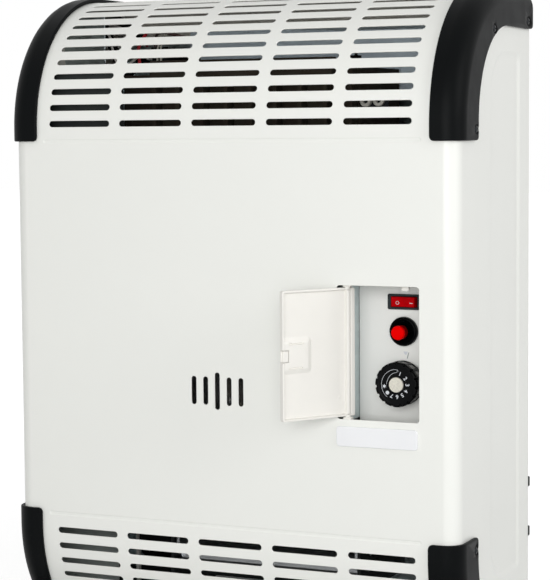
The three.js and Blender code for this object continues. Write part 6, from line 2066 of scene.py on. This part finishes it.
@dataclass
class Wiring:
    """The leads, sleeves, terminals and sensor rings seen through the slots."""

    leads: tuple[Lead, ...] = LEADS
    block: Box3 = ((-164, -90, 240.5), (-136, -9.8, 257))
    barriers: int = 5
    barrier_pitch: float = 16
    screw_x: Point2 = (-157, -143)
    screw: Profile = ((0, 0), (2.6, 0), (2.6, 1.8), (2.1, 2.3), (0, 2.4))
    black_sleeve: Profile = ((0, -98), (3.6, -98), (4.0, -97.5), (4.0, -86), (0, -86))
    black_sleeve_place: Point3 = (-139.5, 0, 250.5)
    ring: Profile = ((2.4, 0), (2.4, -1.2), (2.9, -1.6), (5.2, -1.6), (5.6, -1.2), (5.6, 3), (2.4, 3))
    ring_places: tuple[Point3, ...] = ((114.5, -152, 197.5), (127.5, -152, 198))
    white_sleeves: tuple[tuple[Point3, Point3, float], ...] = (
        ((-152.5, -99, 246), (-148.5, -86, 253.5), 0.8),
        ((-147, -98, 243), (-144.5, -86, 249), 0.6),
        ((-165, -101, -300.2), (-161.6, -96, -232), 0.6),
    )

    def terminals(self) -> tuple[Form, Form]:
        """The wiring block.

        Returns:
            Its base with the barriers, and the screws between them.
        """
        low, high = self.block
        body = block(low, (high[0], high[1], low[2] + 6), 0.8)
        screws = Form()
        head = turned(self.screw, 20, axis="z")
        for k in range(self.barriers):
            y = low[1] + 4 + k * self.barrier_pitch
            start, top = low[0] + 8 * (k % 2), high[2] - 4 * (k == 0)
            body = body.plus(block((start, y - 1, low[2] + 5), (high[0], y + 1, top), 0.5))
            spots = [Matrix.Translation((x, y + 7, low[2] + 5.9)) for x in self.screw_x]
            screws = screws.plus(*(head.moved(spot) for spot in spots))
        return body, screws

    def build(self) -> None:
        """Makes the leads, the block, the sleeves and the rings."""
        for lead in self.leads:
            piece(lead.name, cable(lead.route, lead.radius), lead.sheath, lead.slot)
        body, screws = self.terminals()
        piece("terminal_block_body", body, BLACK_NYLON, "black_plastic", ["terminal_block"])
        piece("terminal_screws", screws, PLATED_STEEL, "steel")
        sleeves = Form().plus(*(block(*sleeve) for sleeve in self.white_sleeves))
        piece("lead_sleeves_white", sleeves, WHITE_POLYPROPYLENE, "white_plastic")
        sleeve = turned(self.black_sleeve, 32, self.black_sleeve_place)
        piece("lead_sleeve_black", sleeve, BLACK_NYLON, "black_plastic")
        rings = Form().plus(*(turned(self.ring, 32, place) for place in self.ring_places))
        piece("sensor_rings", rings, CERAMIC, "ceramic")
        piece("sensor_strap", block((107, -149.5, 190), (136, -148, 205), 0.5), BLACK_OXIDE, "steel")


@dataclass
class InnerSheets:
    """Thin sheets seen as strips of colour through the slots, and the heat shield behind the exchanger. The
    dark sheets are painted shade, put where only shadow shows.
    """

    edge: float = 0.5
    sheets: tuple[tuple[str, Finish, str, tuple[Box3, ...]], ...] = (
        ("side_sheet_low", COOL_PRIMER, "grey_enamel", (((-229.3, -151, -291), (-158, -149.8, -221)),)),
        ("side_sheet_high", GALVANISED_STEEL, "galvanised", (((-229.3, -121, 238), (-182, -119.8, 288)),)),
        ("top_stiffener", GREY_PRIMER, "grey_enamel", (((-217, -11.2, 262), (217, -9.6, 301.6)),)),
        # Dark sheets behind the left slots and under the fan: painted shade, there only to darken what shows
        # through the slots.
        (
            "painted_shade_sheets",
            DARK_STEEL_PAINTED_SHADE,
            "steel",
            (((-229.3, -200, 140), (-119, -198.8, 231)), ((-229.3, -150, -301), (-106, -9.2, -299.8))),
        ),
    )
    shield: Box2 = (-124, 203, 205, 277.5)
    shield_y: float = -43.0
    shield_foot: Box3 = ((194, -17, 208), (202, -9.2, 272))
    bend_start: float = 60.0
    bend_angle: float = math.radians(24)

    def build(self) -> None:
        """Makes the sheets and the shield."""
        for name, finish, slot, boxes in self.sheets:
            piece(name, blocks(boxes, self.edge), finish, slot)
        grid = [(10 * k - 120, 210 + 20 * j) for k in range(32) for j in range(4)]
        shield = thickened(skin(self.bent, rounded(*self.shield, 3), (), grid), 0.8, 0.2)
        foot = block(*self.shield_foot, self.edge)
        piece("heat_shield", shield.plus(foot), ROLLED_ALUMINIUM, "aluminium")

    def bent(self, x: float, z: float) -> Spot:
        """The heat shield, which turns back towards its right end.

        Args:
            x, z: The place, across and up.

        Returns:
            The point, and the normal.
        """
        reach = self.shield[2] - self.bend_start
        share = max(0.0, (x - self.bend_start) / reach)
        turn = self.bend_angle * share
        back = reach * self.bend_angle / 2 * share * share
        return Vector((x, self.shield_y + back, z)), Vector((math.sin(turn), -math.cos(turn), 0))


@dataclass
class ExchangerFins:
    """Cast fins on the exchanger's left side, seen through the second column of slots, and its upper rim."""

    reach: Point2 = (-146.0, -106.0)
    levels: Point2 = (-60.0, 226.0)
    depths: tuple[float, ...] = (-147.0, -125.0, -103.0, -81.0, -59.0)
    thick: float = 4.0
    rim: Box3 = ((-108, -166, 222), (86, -153, 239.4))
    edge: float = 1.5

    def build(self) -> None:
        """Makes the fins and the rim as one casting."""
        (left, right), (low, high), half = self.reach, self.levels, self.thick / 2
        fins = [((left, y - half, low), (right, y + half, high)) for y in self.depths]
        piece("heat_exchanger_fins", blocks([*fins, self.rim], self.edge), CAST_IRON, "cast_iron")


@dataclass
class RearScrews:
    """Self-tapping screws that hold the casing's rear flange and the rear panel."""

    side_x: float = 223.5
    face_y: float = -8.0
    heights: tuple[float, ...] = (-262.0, -92.0, 78.0, 248.0)
    top_z: float = 296.3
    top_places: tuple[float, ...] = (-150.0, 0.0, 150.0)

    def build(self) -> None:
        """Makes the screws, heads towards the wall."""
        spots = [(side * self.side_x, z) for side in (-1, 1) for z in self.heights]
        spots += [(x, self.top_z) for x in self.top_places]
        turn = Matrix.Rotation(math.pi / 2, 4, "Z")
        places = [Matrix.Translation((x, self.face_y, z)) @ turn for x, z in spots]
        screw = pan_head()
        form = Form().plus(*(screw.moved(place) for place in places))
        piece("rear_screws", form, PLATED_STEEL, "steel")


# --- studio
@dataclass(frozen=True)
class Lamp:
    """A square soft box, metres and watts."""

    name: str
    place: Point3
    size: float
    watts: float

    def hang(self, target: Point3) -> None:
        """Hangs the lamp so that it looks at a target.

        Args:
            target: Where it looks.
        """
        data = bpy.data.lights.new(self.name, "AREA")
        data.shape = "SQUARE"
        data.size = self.size
        data.energy = self.watts
        made = shown(self.name, data)
        made.location = self.place
        made.rotation_mode = "QUATERNION"
        made.rotation_quaternion = (Vector(target) - Vector(self.place)).to_track_quat("-Z", "Y")


@dataclass
class Studio:
    """A white room, in metres: floor, backdrop light, soft lamps and the camera of the photograph."""

    camera_place: Point3 = (0.802295, -1.884830, 0.171613)
    camera_axes: tuple[Point3, Point3, Point3] = (
        (0.911499, 0.411230, -0.007725),
        (-0.026432, 0.077309, 0.996657),
        (-0.410453, 0.908247, -0.081337),
    )
    focal_px: float = 1968.97
    frame_px: tuple[int, int] = (550, 580)
    sensor: float = 36.0
    floor_z: float = -0.306
    floor_half: float = 12.0
    floor_colour: str = "#d2d2d2"
    sky: float = 0.43
    footprint: Point3 = (0.236, 0.112, 0.118)
    glows: Point2 = (0.66, 0.84)
    middle: Point3 = (0.0, -0.1, 0.0)
    lamps: tuple[Lamp, ...] = (
        Lamp("front", (0.95, -2.5, 0.35), 1.2, 17),
        Lamp("centre", (0.25, -2.6, 0.5), 1.2, 13.5),
        Lamp("right", (1.9, -0.5, 0.7), 1.0, 11.5),
    )

    def camera(self) -> None:
        """Stands the camera where the photograph was taken from."""
        data = bpy.data.cameras.new("camera")
        data.sensor_width = self.sensor
        data.lens = self.focal_px * self.sensor / max(self.frame_px)
        data.clip_start, data.clip_end = 0.05, 50.0
        made = shown("camera", data)
        right, up, ahead = (Vector(v) for v in self.camera_axes)
        turn = Matrix((right, up, -ahead)).transposed().to_4x4()
        made.matrix_world = Matrix.Translation(self.camera_place) @ turn
        bpy.context.scene.camera = made

    def seen(self, tree: Tree) -> Socket:
        """A switch for what only the camera, a mirror or glass shows.

        Args:
            tree: The nodes that it goes into.

        Returns:
            One for such rays, otherwise nought.
        """
        ray = add_node(tree, "ShaderNodeLightPath")
        found = ray.outputs["Is Camera Ray"]
        for name in ("Is Glossy Ray", "Is Transmission Ray"):
            inputs = {0: found, 1: ray.outputs[name]}
            found = add_node(tree, "ShaderNodeMath", {"operation": "MAXIMUM"}, inputs).outputs[0]
        return found

    def world(self) -> None:
        """Lights the room evenly, and shows white behind the object and in its reflections."""
        made = bpy.data.worlds.new("studio")
        made.use_nodes = True
        bpy.context.scene.world = made
        tree = made.node_tree
        tree.nodes.clear()
        seen = self.seen(tree)
        dim = add_node(tree, "ShaderNodeBackground", None, {"Color": (1, 1, 1, 1), "Strength": self.sky})
        white = add_node(tree, "ShaderNodeBackground", None, {"Color": (1, 1, 1, 1), "Strength": 1.0})
        mix = add_node(tree, "ShaderNodeMixShader", None, {0: seen, 1: dim.outputs[0], 2: white.outputs[0]})
        add_node(tree, "ShaderNodeOutputWorld", None, {"Surface": mix.outputs[0]})

    def glow(self, tree: Tree) -> Socket:
        """How much white the floor shows by itself: none under the heater, more away from it.

        Args:
            tree: The floor's nodes.

        Returns:
            The strength.
        """
        place = add_node(tree, "ShaderNodeTexCoord").outputs["Object"]
        apart = add_node(tree, "ShaderNodeSeparateXYZ", None, {"Vector": place})
        half_x, middle_y, half_y = self.footprint
        sides = []
        for axis, shift, half in (("X", 0.0, half_x), ("Y", middle_y, half_y)):
            value = apart.outputs[axis]
            for operation, number in (("ADD", shift), ("ABSOLUTE", 0.0), ("SUBTRACT", half)):
                inputs = {0: value, 1: number}
                value = add_node(tree, "ShaderNodeMath", {"operation": operation}, inputs).outputs[0]
            sides.append(value)
        inputs = {0: sides[0], 1: sides[1]}
        away = add_node(tree, "ShaderNodeMath", {"operation": "MAXIMUM"}, inputs).outputs[0]
        near, far = self.glows
        levels = []
        for start, end, height in ((0.0, 0.03, near), (0.15, 1.2, far - near)):
            inputs = {"Value": away, "From Min": start, "From Max": end, "To Min": 0.0, "To Max": height}
            settings = {"interpolation_type": "SMOOTHSTEP"}
            levels.append(add_node(tree, "ShaderNodeMapRange", settings, inputs).outputs["Result"])
        return add_node(tree, "ShaderNodeMath", {"operation": "ADD"}, {0: levels[0], 1: levels[1]}).outputs[0]

    def floor(self) -> None:
        """Lays a plain white floor under the object, clear from below."""
        half, z = self.floor_half, self.floor_z
        mesh = bpy.data.meshes.new("floor")
        corners = [(-half, -half, z), (half, -half, z), (half, half, z), (-half, half, z)]
        mesh.from_pydata(corners, [], [(0, 1, 2, 3)])
        made = shown("floor", mesh)
        paint = bpy.data.materials.new("studio_floor_white")
        paint.use_nodes = True
        tree = paint.node_tree
        tree.nodes.clear()
        inputs = {0: self.seen(tree), 1: self.glow(tree)}
        glow = add_node(tree, "ShaderNodeMath", {"operation": "MULTIPLY"}, inputs)
        light = add_node(tree, "ShaderNodeEmission", None, {"Strength": glow.outputs[0]})
        matt = add_node(tree, "ShaderNodeBsdfDiffuse", None, {"Color": linear(self.floor_colour)})
        both = add_node(tree, "ShaderNodeAddShader", None, {0: matt.outputs[0], 1: light.outputs[0]})
        under = add_node(tree, "ShaderNodeNewGeometry").outputs["Backfacing"]
        clear = add_node(tree, "ShaderNodeBsdfTransparent")
        mix = add_node(tree, "ShaderNodeMixShader", None, {0: under, 1: both.outputs[0], 2: clear.outputs[0]})
        add_node(tree, "ShaderNodeOutputMaterial", None, {"Surface": mix.outputs[0]})
        mesh.materials.append(paint)

    def build(self) -> None:
        """Sets the camera, the lamps, the world and the floor."""
        self.camera()
        self.world()
        self.floor()
        for lamp in self.lamps:
            lamp.hang(self.middle)
        bpy.context.scene.view_settings.view_transform = "Standard"


TOP_SCREWS = ((-181.0, 170.5), (-128.58, 263.04), (-23.0, 274.5))
BOTTOM_SCREWS = ((-181.0, -216.5), (-155.0, -286.5))


def main() -> None:
    """Builds the heater and its studio, piece by piece."""
    logging.basicConfig(level=logging.INFO, format="%(message)s")
    parts = (
        Studio(),
        Casing(),
        CornerTrim(True, "top_right", screws=TOP_SCREWS, front_width=25.8, upper_edge=160.2),
        CornerTrim(True, "top_left", True, screws=TOP_SCREWS, front_width=28.3),
        CornerTrim(False, "bottom_right", screws=BOTTOM_SCREWS),
        CornerTrim(False, "bottom_left", True, screws=BOTTOM_SCREWS, lower_edge=-200.2),
        CasingFittings(),
        Door(),
        ControlPanel(),
        RockerSwitch(),
        PiezoIgniter(),
        GasKnob(),
        Inside(),
        ExchangerFins(),
        Wiring(),
        InnerSheets(),
        RearScrews(),
    )
    for part in parts:
        part.build()


if __name__ == "__main__":
    main()
